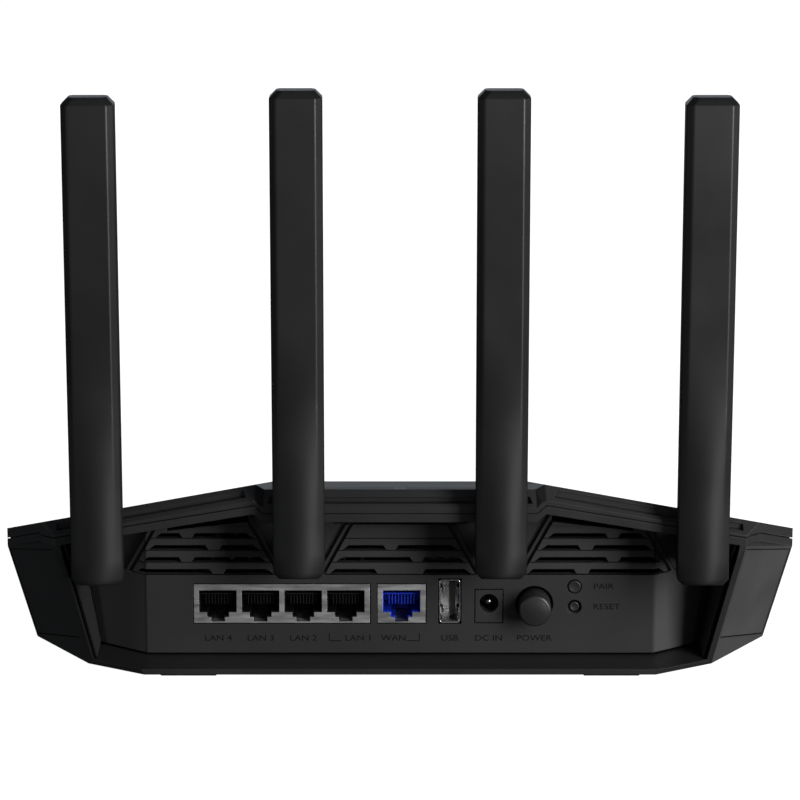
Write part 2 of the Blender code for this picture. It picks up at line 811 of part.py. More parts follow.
def make_lid():
    lid = put(body_hull(0.0, FLOOR_Z), "top_cover", case_black())
    combine(lid, cutter(slab(), "lid_slab"), "UNION")
    hollow = cutter(body_hull(WALL, -5.0), "lid_hollow")
    cut(hollow, above_lid(LID_T), "lid_skin")
    cut(hollow, span((-BEYOND_X, REAR_Y - 5, -10), (BEYOND_X, BEVEL_Y + 0.4, HIGH_Z)), "lid_rear_wall")
    combine(lid, hollow, "DIFFERENCE")
    keep(lid, above_seam(GAP), "lid_seam")
    combine(lid, seam_ring("lid_rebate", LIP_INSET - GAP, GAP, LIP_RISE + GAP), "DIFFERENCE")
    low = FLOOR_Z + BOSS_TOP + 0.4
    posts = [rod((x, y, (80 + low) / 2), POST_D, 80 - low, "Z", 16) for x, y in SCREWS]
    add(lid, joined(posts), "lid_posts")
    cut(lid, above_lid(), "lid_top")
    bores = [rod((x, y, FLOOR_Z + 10), SCREW_D + 2 * GAP, 14.0, "Z", 12) for x, y in SCREWS]
    cut(lid, joined(bores), "lid_bores")
    grooves = [prism(outline, REAR_Y - 2, BEVEL_Y - 0.4) for outline in groove_outlines()]
    cut(lid, joined(grooves), "bevel_grooves")
    vents = []
    for k in range(DECK_VENT_COUNT):
        y = DECK_VENT_FIRST_Y + k * DECK_VENT_PITCH
        reach = deck_half(y) - DECK_VENT_MARGIN
        for side in (-1, 1):
            near, far = sorted((side * 2.0, side * reach))
            vents.append(span((near, y, 10), (far, y + DECK_VENT_WIDE, HIGH_Z)))
    cut(lid, joined(vents), "deck_vents")
    wide, deep = WINDOW_SIZE
    windows = [box((x, WINDOW_Y, HIGH_Z / 2), (wide, deep, HIGH_Z)) for x in WINDOW_XS]
    cut(lid, joined(windows), "light_windows")


def make_light_guide():
    """A clear bar under the deck with a stud in each window, flush with the lid."""
    top = lid_height(0, WINDOW_Y)
    wide, deep = (size - 2 * GAP for size in WINDOW_SIZE)
    bar_top = top - LID_T - 1.0
    bar = box((0, WINDOW_Y, bar_top - GUIDE_BOX[2] / 2), GUIDE_BOX)
    guide = put(bar, "light_guide", clear_plastic())
    low, high = bar_top - 2.0, top - 0.2
    studs = [box((x, WINDOW_Y, (low + high) / 2), (wide, deep, high - low)) for x in WINDOW_XS]
    add(guide, joined(studs), "light_studs")


# ---------------------------------------------------------------- socket panel
def row_base(row):
    return PANEL_TOP_Z + row * ROW_PITCH


def seat_half(z, drop=0.0):
    return SEAT_HALF_LOW + (z + drop - PANEL_TOP_Z) * SEAT_SLOPE


def bay_edges(bay, z):
    """Left and right end of a louvre bay at a height, clear of the seats' ribs and grooves."""
    clear = RIB_T + GROOVE_T - 0.2
    if bay == 0:
        half = INNER_ANTENNA_X - seat_half(z) - clear
        return -half, half
    near = INNER_ANTENNA_X + seat_half(z) + clear
    far = OUTER_ANTENNA_X - seat_half(z, OUTER_DROP) - clear
    return (near, far) if bay > 0 else (-far, -near)


def louvre_block(bay):
    """Saw-toothed cutter: each row of the wall leans back as it rises, then steps out again."""
    top = row_base(ROW_COUNT)
    profile = [(-3.0, row_base(0)), (0.0, row_base(0))]
    for row in range(ROW_COUNT):
        profile.append((ROW_STEP, row_base(row + 1) - 0.02))
        if row < ROW_COUNT - 1:
            profile.append((0.02, row_base(row + 1)))
    profile.append((-3.0, top))
    bm = prism(profile, -OUTER_ANTENNA_X, OUTER_ANTENNA_X, "X")
    low, high = row_base(0), top
    for side in (0, 1):
        x_low = bay_edges(bay, low)[side]
        x_high = bay_edges(bay, high)[side]
        along = Vector((x_high - x_low, 0, high - low))
        normal = along.cross(Vector((0, 1, 0)))
        if (normal.x > 0) != (side == 1):
            normal = -normal
        made = bmesh.ops.bisect_plane(
            bm,
            geom=bm.verts[:] + bm.edges[:] + bm.faces[:],
            plane_co=(x_low, 0, low),
            plane_no=normal,
            clear_outer=True,
        )
        rim = [e for e in made["geom_cut"] if isinstance(e, bmesh.types.BMEdge)]
        bmesh.ops.edgenet_fill(bm, edges=rim)
    bmesh.ops.recalc_face_normals(bm, faces=bm.faces)
    return bm


def slot_shapes():
    shapes = []
    for bay in (-1, 0, 1):
        for row, spans in enumerate(MIDDLE_SLOTS if bay == 0 else SIDE_SLOTS):
            low = row_base(row) + SLOT_LIFT
            high = low + SLOT_H
            for first, last in spans:
                left, right = bay_edges(bay, low)
                left += SLOT_END
                right -= SLOT_END
                if bay < 0:
                    left, right = right, left
                ends = sorted((lerp(left, right, first), lerp(left, right, last)))
                near = SLOT_LEAN if ends[0] in (left, right) else SLOT_LEAN / 2
                far = SLOT_LEAN if ends[1] in (left, right) else SLOT_LEAN / 2
                outline = [(ends[0], low), (ends[1], low), (ends[1] - far, high), (ends[0] + near, high)]
                shapes.append(prism(outline, -4.0, 6.0))
    return shapes


def seat_shapes():
    """The V-shaped seats and, outside each of their ribs, a groove."""
    seats = []
    grooves = []
    low = PANEL_TOP_Z
    high = row_base(ROW_COUNT) + 12.0
    for x in ANTENNA_XS:
        drop = OUTER_DROP if abs(x) > FOLD_X else 0.0
        low_half = seat_half(low, drop)
        high_half = seat_half(high, drop)
        seats.append(
            prism(
                [(x - low_half, low), (x + low_half, low), (x + high_half, high), (x - high_half, high)],
                -4.0,
                SEAT_DEPTH,
            )
        )
        for side in (-1, 1):
            first = low_half + RIB_T
            last = high_half + RIB_T
            outline = [
                (x + side * first, low),
                (x + side * (first + GROOVE_T), low),
                (x + side * (last + GROOVE_T), high),
                (x + side * last, high),
            ]
            grooves.append(prism(outline, -4.0, GROOVE_DEPTH))
    return seats, grooves


def air_gap_shapes():
    """Slits in the panel just below the band's edge: one under the deck and one under each wing."""
    band = BAND_T + AIR_GAP_DROP
    half, tall = AIR_GAP_DECK
    deck_z = SEAM_DECK_Z - band
    shapes = [span((-half, -4.0, deck_z - tall), (half, 6.0, deck_z))]
    near, far, near_tall, far_tall = AIR_GAP_WING
    near_z, far_z = (SEAM_WING_Z - SEAM_SIDE_FALL * (x - wing_start(REAR_Y)) - band for x in (near, far))
    wing = [(near, near_z - near_tall), (far, far_z - far_tall), (far, far_z), (near, near_z)]
    for side in (-1, 1):
        shapes.append(prism([(side * x, z) for x, z in wing], -4.0, 6.0))
    return shapes


def hole_shapes():
    """Straight-through holes for the sockets and buttons."""
    clear = 2 * GAP

    def block(x, z, size):
        return box((x, 0, z), (size[0] + clear, 20, size[2] + clear))

    return [
        block((JACK_XS[0] + JACK_XS[-1]) / 2, JACK_Z, JACK_BOX),
        block(WAN_X, JACK_Z, WAN_BOX),
        block(USB_X, USB_Z, USB_BOX),
        block(DC_X, DC_Z - DC_BODY_DROP, DC_BOX),
        rod((POWER_X, 0, POWER_Z), POWER_HOLE_D, 20, sides=40),
        rod((PAIR_X, 0, PAIR_Z), PAIR_D + clear, 20, sides=24),
        rod((RESET_X, 0, RESET_Z), RESET_D + clear, 20, sides=24),
    ]


def folded(x, y):
    return y + max(0.0, abs(x) - FOLD_X) * FOLD_SLOPE


def above_panel_foot():
    """Everything a gap above the ledge, so that the panel stands clear of the housing's floor."""
    return above(lambda x, y: ledge_height(x, y) + GAP, FOLD_COLUMNS, (REAR_Y - 10, 60.0))


def baked(thing):
    """The object with its modifiers applied, as a new bmesh in panel frame millimetres."""
    bpy.context.view_layer.update()
    graph = bpy.context.evaluated_depsgraph_get()
    mesh = bpy.data.meshes.new_from_object(thing.evaluated_get(graph))
    bm = bmesh.new()
    bm.from_mesh(mesh)
    bm.transform(thing.matrix_world)
    bpy.data.meshes.remove(mesh)
    bpy.data.objects.remove(thing)
    bmesh.ops.scale(bm, verts=bm.verts, vec=(1 / MM,) * 3)
    bmesh.ops.translate(bm, verts=bm.verts, vec=(0, ORIGIN_Y, 0))
    return bm


def flat_tray():
    """The panel before it is folded: a plate with rim flanges, louvres, seats and socket holes."""
    outer = opening_outline(GAP, FLOOR_Z, TRAY_RISE + GAP)
    plate = put(prism(outer, REAR_Y - 30, PANEL_T), "rear_panel_flat", panel_black())
    inner = opening_outline(GAP + FLANGE_T, -5.0, TRAY_RISE + GAP)
    cut(plate, prism(inner, REAR_Y - 40, 0.0), "tray_hollow")
    cut(plate, joined([louvre_block(bay) for bay in (-1, 0, 1)]), "louvre_rows")
    seats, grooves = seat_shapes()
    cut(plate, joined(grooves), "rib_grooves")
    cut(plate, joined(seats), "antenna_seats")
    cut(plate, joined(slot_shapes()), "louvre_slots")
    cut(plate, joined(air_gap_shapes()), "air_gaps")
    lines = []
    for row in range(ROW_COUNT - 1):
        z = row_base(row) + 0.05
        for bay in (-1, 0, 1):
            left, right = bay_edges(bay, z)
            lines.append(span((left, -2, z - ROW_LINE_H), (right, ROW_LINE_DEPTH, z)))
    cut(plate, joined(lines), "row_lines")
    cut(plate, joined(hole_shapes()), "socket_holes")
    funnel = rod((RESET_X, 0.1, RESET_Z), RESET_FUNNEL_D, 1.6, sides=24, end_diameter=RESET_D + 2 * GAP)
    cut(plate, funnel, "reset_funnel")
    return baked(plate)


def make_rear_panel():
    """A tray: the louvred socket plate with flanges that run back to the housing's rim."""
    bm = flat_tray()
    for x in (-FOLD_X, FOLD_X):
        bmesh.ops.bisect_plane(
            bm,
            geom=bm.verts[:] + bm.edges[:] + bm.faces[:],
            plane_co=(x, 0, 0),
            plane_no=(1, 0, 0),
        )
    for v in bm.verts:
        v.co.y = folded(v.co.x, v.co.y)
    panel = put(bm, "rear_panel", panel_black())
    keep(panel, body_hull(WALL + GAP, 0.0), "tray_limit")
    keep(panel, above_panel_foot(), "tray_foot")
    cut(panel, above_lid(LID_T + GAP), "tray_roof")
    bearings = []
    bores = []
    for k, x in enumerate(ANTENNA_XS):
        z = hinge_z(k)
        end = bearing_end(k)
        start = SEAT_DEPTH if is_outer(k) else SEAT_DEPTH + 0.3
        bearings.append(rod((x, (start + end) / 2, z), BEARING_D, end - start, sides=24))
        bores.append(rod((x, 8.0, z), SHAFT_D + 2 * GAP, 40.0, sides=24))
    add(panel, joined(bearings), "shaft_bearings")
    cut(panel, joined(bores), "shaft_bores")


# ---------------------------------------------------------------- sockets
def port_outline(x, z, grow=0.0):
    """The stepped mouth of a network socket, with its latch side down."""
    top = z + PORT_TOP + grow
    first = z + PORT_TOP - PORT_H - grow
    second = first - STEP_H
    third = second - LATCH_H
    half = [
        (LATCH_W / 2 + grow, third),
        (LATCH_W / 2 + grow, second),
        (STEP_W / 2 + grow, second),
        (STEP_W / 2 + grow, first),
        (PORT_W / 2 + grow, first),
        (PORT_W / 2 + grow, top),
    ]
    return [(x + a, b) for a, b in mirrored(half)]


def socket_block(x, z, size):
    """A socket's outer block, flush with the panel and reaching into the case."""
    wide, deep, tall = size
    return span((x - wide / 2, 0, z - tall / 2), (x + wide / 2, deep, z + tall / 2))


def make_network_socket(label, xs, size, insert_finish):
    """A pressed shield over one or more jacks, and a moulded insert in each."""
    deep, tall = size[1:]
    shell = put(socket_block((xs[0] + xs[-1]) / 2, JACK_Z, size), f"{label}_shell", socket_metal())
    pocket_w = JACK_PITCH - SHIELD_T
    pocket_h = tall - 2 * SHIELD_T
    pockets = [box((x, SHIELD_T + 15, JACK_Z), (pocket_w, 30, pocket_h)) for x in xs]
    cut(shell, joined(pockets), f"{label}_pockets")
    mouths = [prism(port_outline(x, JACK_Z), -3.0, 3.0) for x in xs]
    cut(shell, joined(mouths), f"{label}_mouths")
    front = SHIELD_T + GAP
    length = deep - 2.0
    for k, x in enumerate(xs):
        name = f"{label}_insert" if len(xs) == 1 else f"{label}_insert_{len(xs) - k}"
        block = box((x, front + length / 2, JACK_Z), (pocket_w - 2 * GAP, length, pocket_h - 2 * GAP))
        insert = put(block, name, insert_finish)
        cut(insert, prism(port_outline(x, JACK_Z, -INSERT_LIP), -5.0, front + PORT_DEPTH), f"{name}_cavity")


def make_usb():
    """An upright shell, open behind, with its contact tongue standing off the middle."""
    wide, deep, tall = USB_BOX
    shell = put(socket_block(USB_X, USB_Z, USB_BOX), "usb_shell", socket_metal())
    hollow = box((USB_X, deep / 2 - 1.0, USB_Z), (wide - 2 * USB_WALL, deep, tall - 2 * USB_WALL))
    cut(shell, hollow, "usb_hollow")
    tongue_y = deep - 1.0 - GAP - USB_TONGUE[1] / 2
    put(box((USB_X + USB_TONGUE_OFF, tongue_y, USB_Z), USB_TONGUE), "usb_tongue", clear_plastic())


def make_dc_inlet():
    body = put(socket_block(DC_X, DC_Z - DC_BODY_DROP, DC_BOX), "dc_inlet", insert_black())
    cut(body, rod((DC_X, 0, DC_Z), DC_HOLE_D, 2 * DC_HOLE_DEPTH, sides=28), "dc_hole")
    length = DC_HOLE_DEPTH - DC_PIN_BACK
    pin = rod((DC_X, DC_HOLE_DEPTH - GAP - length / 2, DC_Z), DC_PIN_D, length, sides=14)
    put(pin, "dc_pin", steel(), smooth=True)


# ---------------------------------------------------------------- buttons and switches
def make_power_button():
    """A domed cap on a stem that enters the latching switch."""
    x, z = POWER_X, POWER_Z
    face = POWER_EDGE - POWER_OUT
    bm = rod((x, (POWER_IN + face) / 2, z), POWER_D, POWER_IN - face, sides=40)
    cap = put(bm, "power_button", panel_black(), origin=(x, -POWER_OUT, z), smooth=True)
    depth = POWER_EDGE + 0.1
    dome = rod((x, depth / 2 - POWER_OUT, z), POWER_D - 2.2, depth, sides=40, end_diameter=POWER_D)
    add(cap, dome, "power_dome")
    stem_start = POWER_IN - 1.0
    add(cap, rod((x, (STEM_END + stem_start) / 2, z), STEM_D, STEM_END - stem_start, sides=16), "power_stem")
    wide, deep = SWITCH_BOX
    low = (x - wide / 2, SWITCH_Y, BOARD_TOP_Z + GAP)
    high = (x + wide / 2, SWITCH_Y + deep, z + wide / 2)
    body = put(span(low, high), "power_switch", insert_black())
    well = STEM_END + POWER_TRAVEL + 0.9 - SWITCH_Y
    cut(body, rod((x, SWITCH_Y, z), STEM_D + 2 * GAP, 2 * well, sides=16), "switch_well")


def make_small_button(name, x, z, diameter, out, length):
    """A push rod with a collar behind the panel, and the tact switch that it pushes."""
    rod_length = length + out
    stick = rod((x, rod_length / 2 - out, z), diameter, rod_length, sides=24)
    button = put(stick, f"{name}_button", panel_black(), origin=(x, -out, z), smooth=True)
    collar = rod((x, PANEL_T + GAP + SMALL_TRAVEL + 0.6, z), diameter + 2 * SMALL_COLLAR, 1.2, sides=24)
    add(button, collar, f"{name}_collar")
    wide, deep = SMALL_SWITCH
    start = length + SMALL_TRAVEL + 0.4
    low = (x - wide / 2, start, BOARD_TOP_Z + GAP)
    high = (x + wide / 2, start + deep, z + SMALL_SWITCH_OVER)
    put(span(low, high), f"{name}_switch", insert_black())


# ---------------------------------------------------------------- board and what stands on it
def make_board():
    """The main board: cut away round the lid's screw posts, with holes over the board posts."""
    rear = PANEL_T + BOARD_CLEAR
    notch = SCREW_REAR[0] - POST_D / 2 - 2.2
    front = SCREW_FRONT[1] - 6.0
    half = [
        (FOLD_X - 1.0, rear),
        (BOARD_HALF, folded(BOARD_HALF, rear) + 1.0),
        (BOARD_HALF, BOARD_NOTCH_Y),
        (notch, BOARD_NOTCH_Y + 4.0),
        (notch, front - 6.0),
        (BOARD_HALF_FRONT, front),
    ]
    slab_low = BOARD_TOP_Z - BOARD_T
    board = put(prism(mirrored(half), slab_low, BOARD_TOP_Z, "Z"), "main_board", board_green())
    holes = []
    for x in (-BOARD_HOLE_X, BOARD_HOLE_X):
        for y in BOARD_HOLE_YS:
            holes.append(rod((x, y, BOARD_TOP_Z), BOARD_HOLE_D, 8.0, "Z", 12))
    cut(board, joined(holes), "board_holes")


def make_heat_sink():
    base = BOARD_TOP_Z + GAP
    sink = put(span((*SINK_LOW, base), (*SINK_HIGH, base + SINK_BASE_T)), "heat_sink", aluminium())
    pitch = (SINK_HIGH[0] - SINK_LOW[0] - FIN_T) / (FIN_COUNT - 1)
    fins = []
    for k in range(FIN_COUNT):
        x = SINK_LOW[0] + k * pitch
        fins.append(span((x, SINK_LOW[1], base + 1.0), (x + FIN_T, SINK_HIGH[1], base + SINK_H)))
    add(sink, joined(fins), "sink_fins")


def make_radio_shields():
    """Two pressed cans, open downwards, over the radio chips."""
    base = BOARD_TOP_Z + GAP
    for k, (rear, front) in enumerate(CAN_YS):
        name = f"radio_shield_{k + 1}"
        left, right = CAN_X
        can = put(span((left, rear, base), (right, front, base + CAN_H)), name, steel())
        low = (left + CAN_WALL, rear + CAN_WALL, base - 1)
        high = (right - CAN_WALL, front - CAN_WALL, base + CAN_H - CAN_WALL)
        cut(can, span(low, high), f"{name}_hollow")


# ---------------------------------------------------------------- antennas
def is_outer(k):
    return abs(ANTENNA_XS[k]) > FOLD_X


def hinge_z(k):
    return HINGE_Z - (OUTER_DROP if is_outer(k) else 0.0)


def blade_top(k):
    return BLADE_TOP_Z - (OUTER_DROP if is_outer(k) else 0.0)


def bearing_end(k):
    return folded(ANTENNA_XS[k], BEARING_END_Y)


def shaft_end(k):
    return bearing_end(k) + 2.0


def blade_outline(x):
    """Section of a blade: a flat face towards the sockets' side with bevelled long edges."""
    half = BLADE_W / 2
    rear, front = BLADE_REAR_Y, BLADE_REAR_Y + BLADE_T
    return [
        (x - half, rear + BLADE_EDGE),
        (x - half + BLADE_EDGE, rear),
        (x + half - BLADE_EDGE, rear),
        (x + half, rear + BLADE_EDGE),
        (x + half, front - BLADE_EDGE / 2),
        (x + half - BLADE_EDGE / 2, front),
        (x - half + BLADE_EDGE / 2, front),
        (x - half, front - BLADE_EDGE / 2),
    ]


def make_blade(k, tag, pivot):
    """The blade's shell: bevelled, its corners and crown cut off, hollow and open to the front."""
    x, _, z = pivot
    low, top = z - BLADE_BELOW, blade_top(k)
    half = BLADE_W / 2
    front = BLADE_REAR_Y + BLADE_T
    corner = BLADE_CORNER
    face = mirrored([(half - corner, low), (half, low + corner), (half, top - corner), (half - corner, top)])
    shell = put(prism(blade_outline(x), low, top, "Z"), f"{tag}_shell", antenna_black(), origin=pivot)
    keep(shell, prism([(x + a, b) for a, b in face], BLADE_REAR_Y - 5, front + 5), f"{tag}_corners")
    crown = [(BLADE_REAR_Y - 1, low - 1), (front + 1, low - 1), (front + 1, top + 1)]
    crown += [(BLADE_REAR_Y + corner, top + 0.001), (BLADE_REAR_Y - 1, top - corner - 1)]
    keep(shell, prism(crown, x - 20, x + 20, "X"), f"{tag}_crown")
    inner = half - BLADE_WALL
    hollow_low = hollow_start(z)
    hollow_rear = BLADE_REAR_Y + BLADE_WALL + 0.4
    hollow = span((x - inner, hollow_rear, hollow_low), (x + inner, front + 5, top - CROWN_T))
    cut(shell, hollow, f"{tag}_hollow")
    slot_half = TONGUE_W / 2 + GAP
    slot_rear = HINGE_Y - TONGUE_R - GAP
    slot_top = z + TONGUE_R + GAP + 0.1
    cut(shell, span((x - slot_half, slot_rear, low - 5), (x + slot_half, front + 5, slot_top)), f"{tag}_slot")
    lead_way = span((x - 1.2, HINGE_Y + 1.0, z), (x + 1.2, front - 2.2, hollow_low + 2))
    cut(shell, lead_way, f"{tag}_lead_way")
    cut(shell, rod(pivot, PIN_D + 2 * GAP, PIN_LENGTH + 2 * GAP, "X", 16), f"{tag}_pin_seat")


def hollow_start(z):
    return z + TONGUE_R + 4.0


def make_antenna(k):
    x, z = ANTENNA_XS[k], hinge_z(k)
    tag = f"antenna_{k + 1}"
    pivot = (x, HINGE_Y, z)
    make_blade(k, tag, pivot)
    front = BLADE_REAR_Y + BLADE_T - 0.1
    inner = BLADE_W / 2 - BLADE_WALL - GAP
    low = hollow_start(z) + GAP
    high = blade_top(k) - CROWN_T - GAP
    cover = span((x - inner, front - COVER_T, low), (x + inner, front, high))
    put(cover, f"{tag}_cover", antenna_black(), origin=pivot)
    wide, thick = ANTENNA_BOARD
    board_y = HINGE_Y - 0.2
    board = span((x - wide / 2, board_y - thick, low + 6), (x + wide / 2, board_y, high - 8.7))
    put(board, f"{tag}_board", board_green(), origin=pivot)
    put(rod(pivot, PIN_D, PIN_LENGTH, "X", 16), f"{tag}_pin", steel(), origin=pivot, smooth=True)
    make_knuckle(k, pivot, tag)
    make_lead(k, tag)


def make_knuckle(k, pivot, tag):
    """Swivel knuckle: eye, neck, collar against the seat, shaft through the panel, snap collar."""
    x, y, z = pivot
    eye = put(rod(pivot, 2 * TONGUE_R, TONGUE_W, "X", 24), f"{tag}_knuckle", antenna_black(), origin=pivot)
    neck_y = y + NECK_END
    half = TONGUE_W / 2
    add(eye, span((x - half, y, z - TONGUE_R), (x + half, neck_y + 1, z + TONGUE_R)), f"{tag}_tongue")
    collar_y = SEAT_DEPTH - GAP
    end = shaft_end(k)
    add(eye, rod((x, (neck_y + collar_y) / 2, z), NECK_D, collar_y - neck_y, sides=24), f"{tag}_neck")
    add(eye, rod((x, collar_y - COLLAR_T / 2, z), COLLAR_D, COLLAR_T, sides=24), f"{tag}_collar")
    add(eye, rod((x, (end + collar_y - 1.0) / 2, z), SHAFT_D, end - collar_y + 1.0, sides=24), f"{tag}_shaft")
    add(eye, rod((x, end - 0.9, z), SHAFT_D + 2.0, SNAP_T, sides=24), f"{tag}_snap")
    cut(eye, rod((x, end, z), SHAFT_BORE_D, 2 * (end - neck_y + 4.0), sides=12), f"{tag}_bore")
    cut(eye, rod(pivot, PIN_D + 2 * GAP, 3 * TONGUE_W, "X", 16), f"{tag}_eye")


def lead_route(k):
    """From the shaft's bore, down behind the panel, to a socket on the board."""
    x, z = ANTENNA_XS[k], hinge_z(k)
    side = 1 if x > 0 else -1
    y = shaft_end(k) + GAP
    foot_z = BOARD_TOP_Z + GAP
    if is_outer(k):
        return [
            (x, y, z),
            (x, y + 3.0, z - 0.4),
            (x - side * 2.0, y + 5.0, z - 7.0),
            (x - side * (OUTER_LEAD_IN - 1.0), y + 4.0, 24.0),
            (x - side * OUTER_LEAD_IN, y + 3.0, foot_z),
        ]
    foot_x = side * INNER_LEAD_X
    return [
        (x, y, z),
        (x, y + 4.0, z - 0.3),
        (lerp(x, foot_x, 0.5), y + 9.0, z - 8.0),
        (foot_x, JACK_DEPTH + 4.0, 24.0),
        (foot_x, JACK_DEPTH + 5.0, foot_z),
    ]


def make_lead(k, tag):
    """The coaxial lead inside the case."""
    curve = bpy.data.curves.new(f"{tag}_lead_route", "CURVE")
    curve.dimensions = "3D"
    curve.bevel_depth = LEAD_D / 2 * MM
    curve.bevel_resolution = 2
    curve.use_fill_caps = True
    points = smooth_route(lead_route(k), 4)
    spline = curve.splines.new("POLY")
    spline.points.add(len(points) - 1)
    for slot, p in zip(spline.points, points):
        slot.co = (p[0] * MM, (p[1] - ORIGIN_Y) * MM, p[2] * MM, 1)
    curve.materials.append(insert_black())
    parts.objects.link(bpy.data.objects.new(f"{tag}_lead", curve))


def smooth_route(route, steps):
    """Catmull-Rom points through a route's own points."""
    points = [Vector(p) for p in route]
    ends = [2 * points[0] - points[1]] + points + [2 * points[-1] - points[-2]]
    out = []
    for a, b, c, d in zip(ends, ends[1:], ends[2:], ends[3:]):
        square = 2 * a - 5 * b + 4 * c - d
        cubic = 3 * b - a - 3 * c + d
        for k in range(steps):
            t = k / steps
            out.append(0.5 * (2 * b + (c - a) * t + square * t**2 + cubic * t**3))
    out.append(points[-1])
    return out


# ---------------------------------------------------------------- feet and screws
def make_feet():
    wide, deep = FOOT_BOX
    for name, (x, y) in zip(CORNER_NAMES, FEET):
        shape = span((x - wide / 2, y - deep / 2, 0), (x + wide / 2, y + deep / 2, FLOOR_Z + FOOT_SINK))
        foot = put(shape, f"foot_{name}", rubber())
        edge = foot.modifiers.new("rounded", "BEVEL")
        edge.width = 0.5 * MM
        edge.segments = 1
        edge.limit_method = "ANGLE"


def make_screws():
    """Pan heads with a cross recess, on shanks that reach into the lid's posts."""
    low = FLOOR_Z + SCREW_SINK
    for name, (x, y) in zip(CORNER_NAMES, SCREWS):
        head = rod((x, y, low + SCREW_HEAD_T / 2), SCREW_HEAD_D, SCREW_HEAD_T, "Z", 16)
        screw = put(head, f"screw_{name}", steel(), smooth=True)
        shank = rod((x, y, low + 1.0 + (SCREW_LENGTH - 1.0) / 2), SCREW_D - 0.2, SCREW_LENGTH - 1.0, "Z", 12)
        add(screw, shank, f"screw_{name}_shank")
        cut(screw, box((x, y, low), (3.2, 0.8, 1.6)), f"screw_{name}_drive")
        cut(screw, box((x, y, low), (0.8, 3.2, 1.6)), f"screw_{name}_cross")


# ---------------------------------------------------------------- everything
def clear_scene():
    for thing in list(bpy.data.objects):
        bpy.data.objects.remove(thing)


def collection(name):
    made = bpy.data.collections.new(name)
    bpy.context.scene.collection.children.link(made)
    return made


def main():
    global parts, guides
    clear_scene()
    parts = collection("wireless_router")
    guides = collection("cutters")
    make_housing()
    make_side_panels()
    make_lid()
    make_light_guide()
    make_rear_panel()
    make_network_socket("lan", JACK_XS, JACK_BOX, insert_black())
    make_network_socket("wan", (WAN_X,), WAN_BOX, insert_blue())
    make_usb()
    make_dc_inlet()
    make_power_button()
    make_small_button("pair", PAIR_X, PAIR_Z, PAIR_D, PAIR_OUT, PAIR_LENGTH)
    make_small_button("reset", RESET_X, RESET_Z, RESET_D, RESET_OUT, RESET_LENGTH)
    make_board()
    make_heat_sink()
    make_radio_shields()
    make_feet()
    make_screws()
    for k in range(len(ANTENNA_XS)):
        make_antenna(k)


main()
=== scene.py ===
"""Looks of a wireless router with four folding antennas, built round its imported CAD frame.

Lengths in the code are in millimetres unless a name says otherwise. mm() turns them into the
frame's metres. X runs across the router, Y from the sockets to the low front edge, Z up.
"""

import json
import math

import bpy
import numpy as np
from mathutils import Matrix, Vector


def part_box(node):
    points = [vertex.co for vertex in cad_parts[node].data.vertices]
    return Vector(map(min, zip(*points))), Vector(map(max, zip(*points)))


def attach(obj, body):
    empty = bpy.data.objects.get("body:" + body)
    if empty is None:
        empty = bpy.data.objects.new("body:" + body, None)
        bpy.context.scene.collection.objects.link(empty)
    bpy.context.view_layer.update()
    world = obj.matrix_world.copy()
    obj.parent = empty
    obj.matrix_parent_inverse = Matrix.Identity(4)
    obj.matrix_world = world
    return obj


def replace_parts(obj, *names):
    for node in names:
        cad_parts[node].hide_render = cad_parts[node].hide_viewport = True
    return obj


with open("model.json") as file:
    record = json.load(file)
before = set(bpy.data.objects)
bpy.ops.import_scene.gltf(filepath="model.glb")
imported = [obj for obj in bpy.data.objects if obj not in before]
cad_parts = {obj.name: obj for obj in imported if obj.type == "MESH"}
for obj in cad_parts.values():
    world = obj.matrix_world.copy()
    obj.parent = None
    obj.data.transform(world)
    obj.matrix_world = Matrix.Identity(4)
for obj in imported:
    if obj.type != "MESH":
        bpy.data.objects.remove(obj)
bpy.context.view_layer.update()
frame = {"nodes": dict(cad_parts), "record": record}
nodes = frame["nodes"]
MM = 0.001
FOLD_X = 0.0835  # metres from the middle to where the socket panel turns
END_X = 0.0965  # metres from the middle to the panel's end, at the table
END_LEAN = 0.14  # how far that end moves out for each metre up


